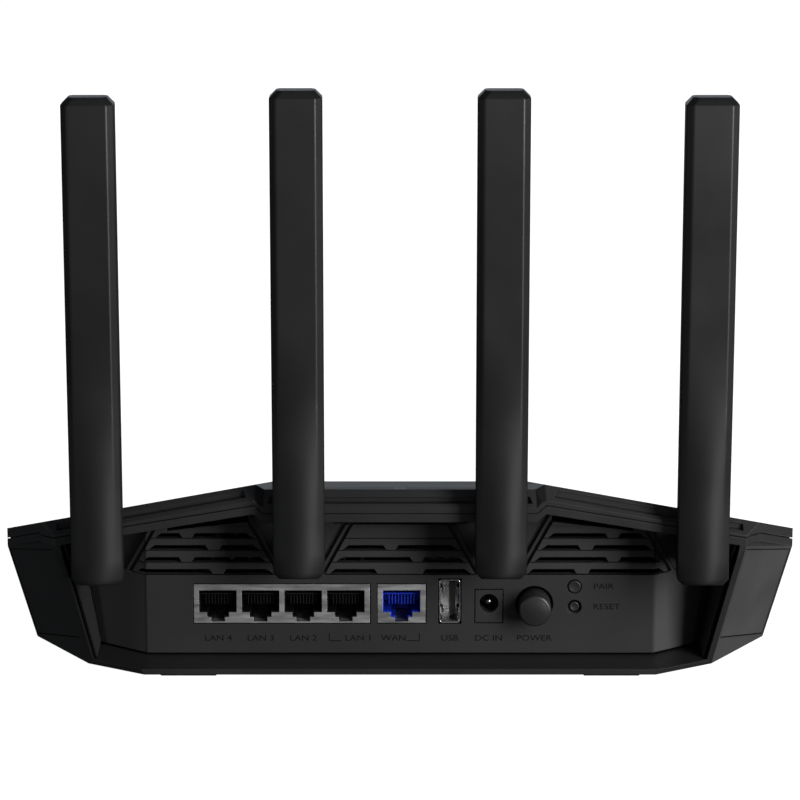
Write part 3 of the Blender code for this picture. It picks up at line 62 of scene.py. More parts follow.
# ---------------------------------------------------------------- shader building
class Surface:
    """A material under construction: a Principled shader and short calls for its nodes."""

    def __init__(self, name, **sockets):
        self.material = bpy.data.materials.new(name)
        self.material.use_nodes = True
        self.tree = self.material.node_tree
        self.shader = self.tree.nodes["Principled BSDF"]
        for socket, value in sockets.items():
            self.shader.inputs[socket.replace("_", " ")].default_value = value

    def node(self, kind, links=None, **settings):
        made = self.tree.nodes.new(kind)
        for key, value in settings.items():
            setattr(made, key, value)
        for socket, value in (links or {}).items():
            target = made.inputs[socket]
            if isinstance(value, bpy.types.NodeSocket):
                self.tree.links.new(value, target)
            else:
                target.default_value = value
        return made

    def place(self, scale=(1, 1, 1), turn=(0, 0, 0)):
        """Object coordinates, stretched and turned."""
        coords = self.node("ShaderNodeTexCoord").outputs["Object"]
        links = {"Vector": coords, "Scale": scale, "Rotation": turn}
        return self.node("ShaderNodeMapping", links).outputs["Vector"]

    def far_out(self):
        """One on the socket panel's folded ends, nought between them and on the walls beyond: where the
        painted light of moulded(ends=...) goes.
        """
        apart = self.node("ShaderNodeSeparateXYZ", {"Vector": self.place()})
        out = self.node("ShaderNodeMath", {0: apart.outputs["X"]}, operation="ABSOLUTE").outputs["Value"]
        lean = {0: apart.outputs["Z"], 1: -END_LEAN, 2: out}
        slanted = self.node("ShaderNodeMath", lean, operation="MULTIPLY_ADD").outputs["Value"]
        past_fold = self.spread(out, 0.0, 1.0, FOLD_X - 0.0005, FOLD_X + 0.0005)
        short_of_end = self.spread(slanted, 1.0, 0.0, END_X - 0.0005, END_X + 0.0005)
        both = self.node("ShaderNodeMath", {0: past_fold, 1: short_of_end}, operation="MULTIPLY")
        return both.outputs["Value"]

    def noise(self, scale, detail=2.0, stretch=(1, 1, 1), turn=(0, 0, 0)):
        links = {"Vector": self.place(stretch, turn), "Scale": scale, "Detail": detail}
        return self.node("ShaderNodeTexNoise", links).outputs["Fac"]

    def spread(self, value, low, high, start=0.0, end=1.0):
        """Maps a 0 to 1 pattern onto a range."""
        links = {
            "Value": value,
            "From Min": start,
            "From Max": end,
            "To Min": low,
            "To Max": high,
        }
        return self.node("ShaderNodeMapRange", links).outputs["Result"]

    def blend(self, share, first, second):
        made = self.node("ShaderNodeMix", data_type="RGBA")
        for index, value in ((0, share), (6, first), (7, second)):
            target = made.inputs[index]
            if isinstance(value, bpy.types.NodeSocket):
                self.tree.links.new(value, target)
            else:
                target.default_value = value
        return made.outputs[2]

    def soft_edges(self, radius):
        """The surface's normal with its edges rounded off, and how close a point is to an edge."""
        bevel = self.node("ShaderNodeBevel", {"Radius": radius * MM}, samples=6)
        flat = self.node("ShaderNodeNewGeometry").outputs["True Normal"]
        links = {0: bevel.outputs["Normal"], 1: flat}
        dot = self.node("ShaderNodeVectorMath", links, operation="DOT_PRODUCT")
        return bevel.outputs["Normal"], self.spread(dot.outputs["Value"], 1.0, 0.0, 0.7, 1.0)

    def crevice(self, reach):
        """How open a point is: 1 on an open face, towards 0 in a gap or an inner corner."""
        return self.node("ShaderNodeAmbientOcclusion", {"Distance": reach * MM}, samples=6).outputs["AO"]

    def bump(self, height, distance, strength=1.0, normal=None):
        links = {"Height": height, "Distance": distance * MM, "Strength": strength}
        if normal:
            links["Normal"] = normal
        return self.node("ShaderNodeBump", links).outputs["Normal"]

    def set(self, socket, value):
        self.tree.links.new(value, self.shader.inputs[socket])
        return self


EDGE_WEAR = 1.3  # how much lighter a rubbed edge is


def grey(value, tint=0.0):
    """A grey of this value, turned a little to blue by the tint."""
    return (value, value * (1 + 0.2 * tint), value * (1 + tint), 1.0)


def moulded(
    name, tone, roughness, grain=0.4, depth=0.02, edge=0.35, tint=0.0, shade=5.0, ends=1.0, specular=0.5
):
    """Moulded plastic: fine spark-eroded grain, faint cloudiness, rounded rubbed edges, and painted shade
    that darkens gaps and inner corners.

    ends is painted light: how much lighter the socket panel's folded ends are painted than the rest of it,
    so they look as lit as the middle.
    """
    s = Surface(name, IOR=1.46)
    s.shader.inputs["Specular IOR Level"].default_value = specular
    fine = s.noise(1.0 / (grain * MM), 3.0)
    cloud = s.noise(40.0, 4.0)
    smooth_normal, near_edge = s.soft_edges(edge)
    base = s.blend(s.spread(cloud, 0, 1, 0.3, 0.7), grey(tone * 0.9, tint), grey(tone * 1.1, tint))
    rubbed = s.blend(s.spread(near_edge, 0.0, 0.5), base, grey(tone * EDGE_WEAR, tint))
    # painted shade: the base colour turns near black in gaps and inner corners, where shade falls
    painted_shade = s.spread(s.crevice(shade), 1.0, 0.0, 0.15, 0.65)
    shown = s.blend(painted_shade, rubbed, grey(tone * 0.12, tint))
    # painted light: the panel's folded ends get a lighter grey so they look as lit as the rest of the panel
    if ends != 1.0:
        shown = s.blend(s.far_out(), shown, grey(tone * ends, tint))
    s.set("Base Color", shown)
    s.set("Roughness", s.spread(cloud, roughness - 0.05, roughness + 0.05, 0.3, 0.7))
    s.set("Normal", s.bump(fine, depth, 0.6, smooth_normal))
    return s.material


def rubber_pad():
    """Rubber: matt, with a fine criss-cross of moulded ribs and dust in them."""
    s = Surface("foot_rubber", IOR=1.5)
    wave = s.node("ShaderNodeTexWave", {"Vector": s.place(turn=(0, 0, math.pi / 4)), "Scale": 900.0})
    dust = s.noise(300.0, 5.0)
    s.set("Base Color", s.blend(s.spread(dust, 0, 1, 0.45, 0.75), grey(0.012), grey(0.03)))
    s.set("Roughness", s.spread(dust, 0.75, 0.92))
    s.set("Normal", s.bump(wave.outputs["Fac"], 0.06))
    return s.material


def plated(name, tone, roughness, direction=(1, 1, 40), speckle=0.25, shade=0.0):
    """Tin-plated sheet: stretched rolling marks, cloudy plating and dull finger marks; with shade set,
    painted shade darkens its hollows.
    """
    s = Surface(name, Metallic=1.0)
    rolled = s.noise(120.0, 4.0, direction)
    cloud = s.noise(160.0, 3.0)
    marks = s.noise(700.0, 5.0)
    tone_map = s.spread(cloud, tone * 0.85, tone * 1.1, 0.3, 0.7)
    colour = s.node("ShaderNodeCombineColor", {0: tone_map, 1: tone_map, 2: tone_map}).outputs["Color"]
    dull = s.spread(marks, 0, speckle, 0.5, 0.75)
    shown = s.blend(dull, colour, grey(tone * 0.55))
    # painted shade: the base colour turns near black inside the sheet's hollows and gaps
    if shade:
        shown = s.blend(s.spread(s.crevice(shade), 1.0, 0.0, 0.05, 0.45), shown, grey(tone * 0.02))
    s.set("Base Color", shown)
    s.set("Roughness", s.spread(rolled, roughness - 0.08, roughness + 0.1, 0.3, 0.7))
    edges, _ = s.soft_edges(0.15)
    s.set("Normal", s.bump(rolled, 0.01, 0.5, edges))
    return s.material


def gilt():
    """Gold-flashed spring contacts, a little uneven in the plating."""
    s = Surface("contact_gold", Metallic=1.0)
    cloud = s.noise(900.0, 4.0)
    patches = s.spread(cloud, 0, 1, 0.35, 0.65)
    s.set("Base Color", s.blend(patches, (0.16, 0.11, 0.05, 1), (0.28, 0.2, 0.09, 1)))
    s.set("Roughness", s.spread(cloud, 0.18, 0.36))
    return s.material


def blue_insert():
    """Saturated blue moulding for the fast network socket, with painted light brightening its edges and
    painted shade in its gaps.
    """
    s = Surface("blue_insert", IOR=1.35)
    cloud = s.noise(220.0, 3.0)
    edges, near = s.soft_edges(0.2)
    base = s.blend(s.spread(cloud, 0, 1, 0.35, 0.65), (0.004, 0.018, 0.32, 1), (0.008, 0.03, 0.45, 1))
    # painted light: the blue turns much brighter near the edges, standing in for light showing through them
    painted_edge_glow = s.blend(s.spread(near, 0, 0.6), base, (0.005, 0.08, 1.0, 1))
    # painted shade: the blue darkens in the socket's gaps and hollows
    painted_shade = s.spread(s.crevice(6.0), 1.0, 0.0, 0.1, 0.6)
    s.set("Base Color", s.blend(painted_shade, painted_edge_glow, (0.002, 0.02, 0.35, 1)))
    s.set("Roughness", s.spread(cloud, 0.4, 0.55))
    s.set("Normal", s.bump(s.noise(3000.0), 0.006, 0.5, edges))
    return s.material


def solder_mask(name, green, pale):
    """Circuit board: parallel copper tracks and pads showing faintly through the lacquer."""
    s = Surface(name, IOR=1.5, Coat_Weight=0.4, Coat_Roughness=0.2)
    grid = {"Vector": s.place(), "Scale": 240.0, "Mortar Size": 0.09}
    tracks = s.node("ShaderNodeTexBrick", grid, offset=0.37)
    pads = s.node("ShaderNodeTexVoronoi", {"Vector": s.place(), "Scale": 260.0, "Randomness": 0.8})
    round_pads = s.spread(pads.outputs["Distance"], 1.0, 0.0, 0.12, 0.16)
    lines = s.blend(tracks.outputs["Fac"], green, pale)
    s.set("Base Color", s.blend(round_pads, lines, (0.45, 0.42, 0.36, 1)))
    s.set("Roughness", s.spread(s.noise(500.0), 0.3, 0.5))
    s.set("Normal", s.bump(tracks.outputs["Fac"], 0.03))
    return s.material


def extruded():
    """Extruded aluminium: long drawing lines and a pale oxide bloom."""
    s = Surface("extruded_aluminium", Metallic=1.0)
    lines = s.noise(90.0, 5.0, (30, 1, 30))
    bloom = s.noise(60.0, 4.0)
    pale = s.spread(bloom, 0, 1, 0.3, 0.7)
    s.set("Base Color", s.blend(pale, (0.50, 0.53, 0.60, 1), (0.66, 0.69, 0.76, 1)))
    s.set("Roughness", s.spread(lines, 0.28, 0.5, 0.3, 0.7))
    s.set("Normal", s.bump(lines, 0.02))
    return s.material


def milky():
    """Milky light-guide plastic with faint swirls."""
    s = Surface("milky_plastic", IOR=1.5, Transmission_Weight=0.25)
    swirl = s.noise(180.0, 4.0)
    cloudy = s.spread(swirl, 0, 1, 0.3, 0.7)
    s.set("Base Color", s.blend(cloudy, (0.62, 0.65, 0.68, 1), (0.85, 0.87, 0.88, 1)))
    s.set("Roughness", s.spread(swirl, 0.2, 0.4))
    return s.material


def lettering_ink():
    """Pad-printed ink: nearly black, thinner in places."""
    s = Surface("lettering_ink", IOR=1.3)
    patch = s.noise(1500.0, 4.0)
    s.set("Base Color", s.blend(s.spread(patch, 0, 1, 0.35, 0.7), grey(0.001), grey(0.003)))
    s.set("Roughness", s.spread(patch, 0.75, 0.95))
    return s.material


case_plastic = moulded("case_plastic", 0.018, 0.42, tint=0.06, shade=2.2)
# ends=2.9 is painted light on the panel's folded ends, not a lighter plastic
panel_plastic = moulded("panel_plastic", 0.0155, 0.6, grain=0.5, depth=0.03, shade=1.6, ends=2.9)
inlay_plastic = moulded("inlay_plastic", 0.006, 0.34, grain=0.3, depth=0.012)
blade_plastic = moulded("blade_plastic", 0.011, 0.42, grain=0.35, depth=0.012)
button_plastic = moulded("button_plastic", 0.02, 0.36, grain=0.3, depth=0.01, edge=0.3)
black_insert = moulded("black_insert", 0.0025, 0.6, grain=0.25, depth=0.01, edge=0.2, specular=0.25)
tongue_plastic = moulded("tongue_plastic", 0.05, 0.4, grain=0.25, depth=0.01, edge=0.15)
lead_sheath = moulded("lead_sheath", 0.014, 0.35, grain=0.8, depth=0.02, edge=0.1)
foot_rubber = rubber_pad()
socket_sheet = plated("socket_sheet", 0.64, 0.42, direction=(1, 1, 6), speckle=0.06)
usb_sheet = plated("usb_sheet", 0.85, 0.24, direction=(1, 6, 1), speckle=0.1, shade=2.5)
pin_metal = plated("pin_metal", 0.5, 0.22, direction=(1, 1, 1), speckle=0.2)
spring_steel = plated("spring_steel", 0.5, 0.34, direction=(40, 1, 1), shade=2.5)
screw_zinc = plated("screw_zinc", 0.42, 0.3, direction=(1, 1, 1), speckle=0.5)
shield_tin = plated("shield_tin", 0.55, 0.4, direction=(1, 30, 1))
contact_gold = gilt()
blue_plastic = blue_insert()
board_lacquer = solder_mask("board_lacquer", (0.004, 0.045, 0.03, 1), (0.012, 0.1, 0.06, 1))
sink_metal = extruded()
guide_plastic = milky()
ink = lettering_ink()

FINISHES = {
    "case": case_plastic,
    "panel": panel_plastic,
    "inlay": inlay_plastic,
    "antenna": blade_plastic,
    "button": button_plastic,
    "socket_metal": socket_sheet,
    "steel": spring_steel,
    "insert_black": black_insert,
    "insert_blue": blue_plastic,
    "tongue": tongue_plastic,
    "clear": guide_plastic,
    "board": board_lacquer,
    "heat_sink": sink_metal,
    "foot": foot_rubber,
    "lead": lead_sheath,
}
OWN_FINISH = {
    "radio_shield_1": shield_tin,
    "radio_shield_2": shield_tin,
    "dc_inlet": panel_plastic,
}


def dress_frame():
    """Every CAD node gets the finish of its slot in the record."""
    for part in frame["record"]["subparts"]:
        name = part["node"]
        finish = OWN_FINISH.get(name, FINISHES[part["material_slot"]])
        if name.startswith("screw"):
            finish = screw_zinc
        data = nodes[name].data
        data.materials.clear()
        data.materials.append(finish)


# ---------------------------------------------------------------- meshes from arrays
def made_mesh(name, points, faces, material, smooth_angle=None):
    """points in mm (n, 3) and faces as index rows, each row one polygon."""
    mesh = bpy.data.meshes.new(name)
    mesh.from_pydata((np.asarray(points, float) * MM).tolist(), [], [list(f) for f in faces])
    mesh.materials.append(material)
    if smooth_angle is not None:
        mesh.shade_smooth()
        mesh.set_sharp_from_angle(angle=math.radians(smooth_angle))
    thing = bpy.data.objects.new(name, mesh)
    bpy.context.scene.collection.objects.link(thing)
    return thing


def tube_faces(rings, count, closed_ends=True):
    """Quads between consecutive rings of a loft, with an n-gon at each end."""
    ring = np.arange(count)
    nxt = (ring + 1) % count
    starts = np.arange(rings - 1)[:, None] * count
    quads = np.stack([starts + ring, starts + nxt, starts + count + nxt, starts + count + ring], axis=-1)
    faces = quads.reshape(-1, 4).tolist()
    if closed_ends:
        faces.append(ring[::-1].tolist())
        faces.append((ring + (rings - 1) * count).tolist())
    return faces


def turned(name, profile, centre, axis, material, count=64, smooth_angle=30):
    """A turned piece: (radius, height) points swept once round an axis, closed at both ends."""
    profile = np.asarray(profile, float)
    angle = np.linspace(0, 2 * np.pi, count, endpoint=False)
    across = profile[:, :1] * np.cos(angle)
    up = profile[:, :1] * np.sin(angle)
    along = np.repeat(profile[:, 1:], count, axis=1)
    points = np.zeros((len(profile), count, 3))
    if axis == "Y":
        points[..., 0], points[..., 1], points[..., 2] = across, along, -up
    else:
        points[..., 0], points[..., 1], points[..., 2] = across, up, along
    points = points.reshape(-1, 3) + np.asarray(centre, float)
    return made_mesh(name, points, tube_faces(len(profile), count), material, smooth_angle)


def corners(name):
    """Low and high corners of a CAD node's box, in mm."""
    low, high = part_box(name)
    return np.array(low) / MM, np.array(high) / MM


PANEL_Y = corners("lan_shell")[0][1]  # the socket panel's outer face


def middle(name):
    """Centre of a CAD node's box, in mm."""
    low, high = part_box(name)
    return (np.array(low) + np.array(high)) / 2 / MM


# ---------------------------------------------------------------- antennas
BLADE_EDGE = 2.1
BLADE_BOW = 3.4
TOP_CUT = 2.2
END_CUT = 2.0
END_CHAMFER = 0.5
VIEW_FALL = 0.27  # how far the lower end drops for each millimetre its bow comes forward
BLADE_FACE = 5.0  # solid thickness behind the blade's rear face
COVER_GAP = 0.3
HINGE_SLOT = 3.3  # half the width of the knuckle's slot
SLOT_BACK = 3.8
SLOT_RISE = 3.9
PIN_BORE = 1.5
PIN_REACH = 7.1
PAST = 5.0  # how far a cutting solid runs past the surface it opens
SHARP_ANGLE = 28


def blade_sections(half, rear, front, low, top):
    """Loft up the blade: flat with bevelled long edges above, bowed like a barrel below.

    At each height the section is a closed loop. Its rear side is y = rear + bow * (x / half)^2
    near the bottom, and further up a flat whose last stretch falls away at 45 degrees. The two
    are mixed by a smooth step of the height. Both ends narrow by 45 degree corners, the top's rear
    edge is bevelled, and the lower end follows the bow, so that it looks straight from behind.
    """
    heights = np.concatenate(
        [
            [low, low + END_CHAMFER, low + END_CUT],
            np.linspace(low + 8, low + 92, 22),
            [top - 30, top - TOP_CUT, top],
        ]
    )
    crown = np.maximum(0, heights - (top - TOP_CUT))
    shrink = crown + np.maximum(0, low + END_CUT - heights)
    setback = crown + np.maximum(0, low + END_CHAMFER - heights)
    rise = np.clip((heights - low - 8) / 80, 0, 1)
    flatness = (rise**2 * (3 - 2 * rise))[:, None]
    wide = (half - shrink)[:, None]
    inner = wide - BLADE_EDGE
    edge_share = np.linspace(0, 1, 6)[None, 1:]
    right_x = inner + BLADE_EDGE * edge_share
    face_x = np.concatenate([-right_x[:, ::-1], inner * np.linspace(-1, 1, 25)[None, :], right_x], axis=1)
    flat_y = np.maximum(0, np.abs(face_x) - inner)
    bow_y = BLADE_BOW * (face_x / wide) ** 2
    face_y = bow_y + (flat_y - bow_y) * flatness + setback[:, None]
    side = front - rear - 1.0
    ones = np.ones_like(wide)
    loop_x = np.concatenate([face_x, wide, wide - 1.0, 1.0 - wide, -wide], axis=1)
    flank = side * ones
    loop_y = np.concatenate([face_y, flank, flank + ones, flank + ones, flank], axis=1)
    near_end = np.clip(1 - (heights - low) / 8, 0, 1)[:, None]
    dip = VIEW_FALL * BLADE_BOW * np.minimum(1, np.abs(loop_x) / wide) ** 2 * near_end
    loop_z = heights[:, None] - dip
    return np.stack([loop_x, loop_y + rear, loop_z], axis=-1)


def boxed(low, high):
    """Corner points and faces of a block between two corners."""
    pick = np.array([[0, 0, 0], [1, 0, 0], [1, 1, 0], [0, 1, 0], [0, 0, 1], [1, 0, 1], [1, 1, 1], [0, 1, 1]])
    low, high = np.asarray(low, float), np.asarray(high, float)
    faces = [(0, 3, 2, 1), (4, 5, 6, 7), (0, 1, 5, 4), (1, 2, 6, 5), (2, 3, 7, 6), (3, 0, 4, 7)]
    return low + pick * (high - low), faces


def carve(piece, tools):
    """Takes the tools' solids out of a piece and bakes the result into its mesh."""
    for tool in tools:
        step = piece.modifiers.new("carve", "BOOLEAN")
        step.object = tool
        step.operation = "DIFFERENCE"
        step.solver = "EXACT"
    bake(piece)
    for tool in tools:
        bpy.data.objects.remove(tool)


def bake(piece):
    """Makes the result of a piece's modifiers its own mesh."""
    bpy.context.view_layer.update()
    graph = bpy.context.evaluated_depsgraph_get()
    final = piece.evaluated_get(graph)
    mesh = bpy.data.meshes.new_from_object(final, preserve_all_data_layers=True, depsgraph=graph)
    piece.modifiers.clear()
    piece.data = mesh


def soften(piece, width, segments=2, angle=30):
    """Rounds the edges of a piece that are sharper than the angle, by a width in mm."""
    step = piece.modifiers.new("soft_edges", "BEVEL")
    step.width = width * MM
    step.segments = segments
    step.limit_method = "ANGLE"
    step.angle_limit = math.radians(angle)
    step.harden_normals = False
    return step


def build_blade(k):
    """The blade's shell, with its hollow back, hinge slot and pin bore as in the frame."""
    tag = f"antenna_{k}"
    low, high = corners(f"{tag}_shell")
    pin = middle(f"{tag}_pin")
    cover_low, cover_high = corners(f"{tag}_cover")
    x = (low[0] + high[0]) / 2
    half = (high[0] - low[0]) / 2
    points = blade_sections(half, low[1], high[1], low[2], high[2])
    rings, count = points.shape[:2]
    points = points.reshape(-1, 3) + (x, 0, 0)
    blade = made_mesh(f"{tag}_blade", points, tube_faces(rings, count), blade_plastic, SHARP_ANGLE)
    soften(blade, 0.35)
    bake(blade)
    inner = (cover_high[0] - cover_low[0]) / 2 + COVER_GAP
    near, far = low[1] + BLADE_FACE, high[1] + PAST
    bottom, top = cover_low[2] - COVER_GAP, cover_high[2] + COVER_GAP
    hollow = boxed((x - inner, near, bottom), (x + inner, far, top))
    slot_low = (x - HINGE_SLOT, pin[1] - SLOT_BACK, low[2] - PAST)
    slot = boxed(slot_low, (x + HINGE_SLOT, far, pin[2] + SLOT_RISE))
    tools = [made_mesh("tool", *solid, blade_plastic) for solid in (hollow, slot)]
    bore = turned("tool", [(PIN_BORE, -PIN_REACH), (PIN_BORE, PIN_REACH)], (0, 0, 0), "Z", blade_plastic, 24)
    bore.data.transform(turn_to_x(pin))
    tools.append(bore)
    carve(blade, tools)
    blade.data.shade_smooth()
    blade.data.set_sharp_from_angle(angle=math.radians(SHARP_ANGLE))
    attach(blade, tag)
    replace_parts(blade, f"{tag}_shell")


def turn_to_x(place):
    """Matrix that lays a Z piece made at the origin along X at a place given in mm."""
    return Matrix.Translation(Vector(place) * MM) @ Matrix.Rotation(math.pi / 2, 4, "Y")


# ---------------------------------------------------------------- buttons
POWER_DISH = 0.55
POWER_RIM = 1.1
STEM = 1.8  # radius of the power button's stem
SMALL_RADIUS = {"pair": 2.1, "reset": 1.65}
SMALL_RIM = 0.4
COLLAR = 0.9  # how far a small button's collar stands out
COLLAR_T = 1.2
AXIS_GAP = 0.02  # a turned face starts this far from its axis, so no ring shrinks to a point


def build_power_button():
    """Turned cap: a shallow dish (depth grows with the square of the radius), round rim and stem."""
    low, high = corners("power_button")
    x, _, z = middle("power_button")
    radius = (high[0] - low[0]) / 2
    start = low[1]
    cap_end = PANEL_Y + 2.0
    t = np.linspace(0, 1, 12)
    dome = np.stack([(radius - POWER_RIM) * t + AXIS_GAP, start + POWER_DISH * t**2], axis=1)
    turn = np.linspace(0, np.pi / 2, 8)[1:]
    rim_y = start + POWER_DISH + POWER_RIM * (1 - np.cos(turn))
    rim = np.stack([radius - POWER_RIM + POWER_RIM * np.sin(turn), rim_y], axis=1)
    body = [(radius, cap_end - 0.3), (radius - 0.3, cap_end)]
    body += [(STEM, cap_end), (STEM, high[1]), (0.05, high[1])]
    cap = turned("power_cap", np.concatenate([dome, rim, body]), (x, 0, z), "Y", button_plastic, 96)
    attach(cap, "power")
    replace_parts(cap, "power_button")


def build_small_button(name):
    """Turned push button: a dished face, a round rim, and the collar that stops it at the panel."""
    low, high = corners(f"{name}_button")
    x, _, z = middle(f"{name}_button")
    start = low[1]
    radius = SMALL_RADIUS[name]
    collar = radius + COLLAR
    t = np.linspace(0, 1, 8)
    face = np.stack([(radius - SMALL_RIM) * t + AXIS_GAP, start + 0.2 * (1 - t**2)], axis=1)
    turn = np.linspace(0, np.pi / 2, 6)[1:]
    rim_y = start + SMALL_RIM * (1 - np.cos(turn))
    rim = np.stack([radius - SMALL_RIM + SMALL_RIM * np.sin(turn), rim_y], axis=1)
    base = PANEL_Y + 3.1
    body = [(radius, base), (collar, base), (collar, base + COLLAR_T), (radius, base + COLLAR_T)]
    body += [(radius, high[1]), (0.05, high[1])]
    cap = turned(f"{name}_cap", np.concatenate([face, rim, body]), (x, 0, z), "Y", button_plastic, 64)
    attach(cap, name)
    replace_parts(cap, f"{name}_button")


# ---------------------------------------------------------------- sockets
CONTACT_COUNT = 8
CONTACT_PITCH = 1.02
CONTACT_W = 0.5
CONTACT_T = 0.26
COMB_TOOTH = 0.18  # half a tooth's width
SHELF_HALF = 5.7
TAB_Z = 3.4  # the sprung tabs' distance from the middle of the upright socket
TONGUE_CONTACTS = 4
TONGUE_PITCH = 2.4


def ribbon(path, wide, thick):
    """A strip of constant width carried along a path in the Y-Z plane: four corners at each point.

    The corners lie half the thickness either side of the path, along its normal.
    """
    path = np.asarray(path, float)
    along = np.gradient(path, axis=0)
    along /= np.linalg.norm(along, axis=1, keepdims=True)
    normal = np.stack([-along[:, 1], along[:, 0]], axis=1) * thick / 2
    upper, lower = path + normal, path - normal
    left = np.full(len(path), -wide / 2)
    ring = [(left, upper), (left, lower), (-left, lower), (-left, upper)]
    return np.stack([np.column_stack([x, yz]) for x, yz in ring], axis=1)


def pooled(parts):
    """Several (points, faces) solids as one set of points and faces."""
    points, faces, start = [], [], 0
    for some_points, some_faces in parts:
        some_points = np.asarray(some_points, float).reshape(-1, 3)
        points.append(some_points)
        faces += [[index + start for index in face] for face in some_faces]
        start += len(some_points)
    return np.concatenate(points), faces


def case_piece(thing):
    """A new piece that moves with the case."""
    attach(thing, "case")
    return thing


def build_jack(tag, x, z, insert_material):
    """The eight sprung contacts of a network socket and the comb that keeps them apart."""
    bend = np.linspace(0, 1, 9)
    path = np.stack([PANEL_Y + 3.6 + 7.4 * bend, z + 3.7 - 3.9 * bend**1.6], axis=1)
    strip = ribbon(path, CONTACT_W, CONTACT_T)
    faces = tube_faces(len(path), 4)
    offsets = (np.arange(CONTACT_COUNT) - (CONTACT_COUNT - 1) / 2) * CONTACT_PITCH
    springs = [(strip + (x + offset, 0, 0), faces) for offset in offsets]
    contacts = made_mesh(f"{tag}_contacts", *pooled(springs), contact_gold, 40)
    case_piece(contacts)
    shelf_low = (x - SHELF_HALF, PANEL_Y + 2.4, z + 2.5)
    shelf = [boxed(shelf_low, (x + SHELF_HALF, PANEL_Y + 3.2, z + 3.0))]
    for offset in np.append(offsets - CONTACT_PITCH / 2, offsets[-1] + CONTACT_PITCH / 2):
        low = (x + offset - COMB_TOOTH, PANEL_Y + 2.6, z - 0.9)
        high = (x + offset + COMB_TOOTH, PANEL_Y + 3.1, z + 2.7)
        shelf.append(boxed(low, high))
    comb = made_mesh(f"{tag}_comb", *pooled(shelf), insert_material)
    soften(comb, 0.08, 1)
    bake(comb)
    case_piece(comb)


def rounded_loop(half_x, half_z, radius, steps=5):
    """Points round a rectangle with quarter-circle corners, as (n, 2)."""
    turn = np.linspace(0, np.pi / 2, steps)
    corners_at = [(1, 1, 0), (-1, 1, 1), (-1, -1, 2), (1, -1, 3)]
    loop = []
    for sx, sz, quarter in corners_at:
        angle = turn + quarter * np.pi / 2
        centre = np.array([sx * (half_x - radius), sz * (half_z - radius)])
        loop.append(centre + radius * np.stack([np.cos(angle), np.sin(angle)], axis=1))
    return np.concatenate(loop)


def build_usb():
    """Upright socket: a drawn tube with a rolled mouth, sprung tabs, and the tongue's contacts."""
    low, high = corners("usb_shell")
    x, _, z = middle("usb_shell")
    half_x, half_z = (high[0] - low[0]) / 2, (high[2] - low[2]) / 2
    # outer skin from the back to the mouth, round the rolled lip, then the inner skin to the back
    stations = [(high[1], 0.0), (low[1] + 0.6, 0.0), (low[1] + 0.1, 0.05), (low[1], 0.2)]
    stations += [(low[1] + 0.05, 0.38), (low[1] + 0.5, 0.5), (high[1] - 1.0, 0.5)]
    rings = []
    for y, shrink in stations:
        loop = rounded_loop(half_x - shrink, half_z - shrink, 1.0 - shrink * 0.8)
        rings.append(np.column_stack([loop[:, 0] + x, np.full(len(loop), y), loop[:, 1] + z]))
    rings = np.stack(rings)
    shell = made_mesh("usb_socket", rings.reshape(-1, 3), tube_faces(*rings.shape[:2]), usb_sheet, 35)
    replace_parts(case_piece(shell), "usb_shell")
    tabs = []
    for side_z in (-1, 1):
        for side_x in (-1, 1):
            bend = np.linspace(0, 1, 7)
            path = np.stack([low[1] + 0.8 + 5.0 * bend, 0.7 * np.sin(np.pi * bend)], axis=1)
            strip = ribbon(path, 2.0, 0.25)
            across = side_x * (half_x - 0.6 - strip[..., 2])
            place = np.stack([across, strip[..., 1], strip[..., 0]], axis=-1)
            place += (x, 0, z + side_z * TAB_Z)
            tab_faces = tube_faces(len(path), 4)
            if side_x < 0:
                tab_faces = [face[::-1] for face in tab_faces]
            tabs.append((place, tab_faces))
    springs = made_mesh("usb_tabs", *pooled(tabs), spring_steel, 40)
    case_piece(springs)
    tongue_low, tongue_high = corners("usb_tongue")
    strips = []
    for k in range(TONGUE_CONTACTS):
        strip_z = z + (k - (TONGUE_CONTACTS - 1) / 2) * TONGUE_PITCH
        strips.append(
            boxed(
                (tongue_low[0] - 0.12, tongue_low[1] + 0.8, strip_z - 0.55),
                (tongue_low[0] + 0.1, tongue_high[1] - 0.5, strip_z + 0.55),
            )
        )
    contacts = made_mesh("usb_contacts", *pooled(strips), contact_gold)
    soften(contacts, 0.08, 1)
    bake(contacts)
    case_piece(contacts)


def build_dc_pin():
    """The inlet's pin: a turned rod whose nose is a quarter circle."""
    low, high = corners("dc_pin")
    x, _, z = middle("dc_pin")
    radius = (high[0] - low[0]) / 2
    turn = np.linspace(0, np.pi / 2, 9)
    nose = np.stack([radius * np.sin(turn) + 0.02, low[1] + radius * (1 - np.cos(turn))], axis=1)
    profile = np.concatenate([nose, [(radius + 0.02, high[1]), (0.02, high[1])]])
    pin = turned("dc_pin_turned", profile, (x, 0, z), "Y", pin_metal, 40)
    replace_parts(case_piece(pin), "dc_pin")


# ---------------------------------------------------------------- lettering
LABEL_Z = 9.8
LABEL_SIZE = 2.75
LABEL_STRETCH = 1.22
LABEL_RAISE = 0.03  # half the ink's thickness


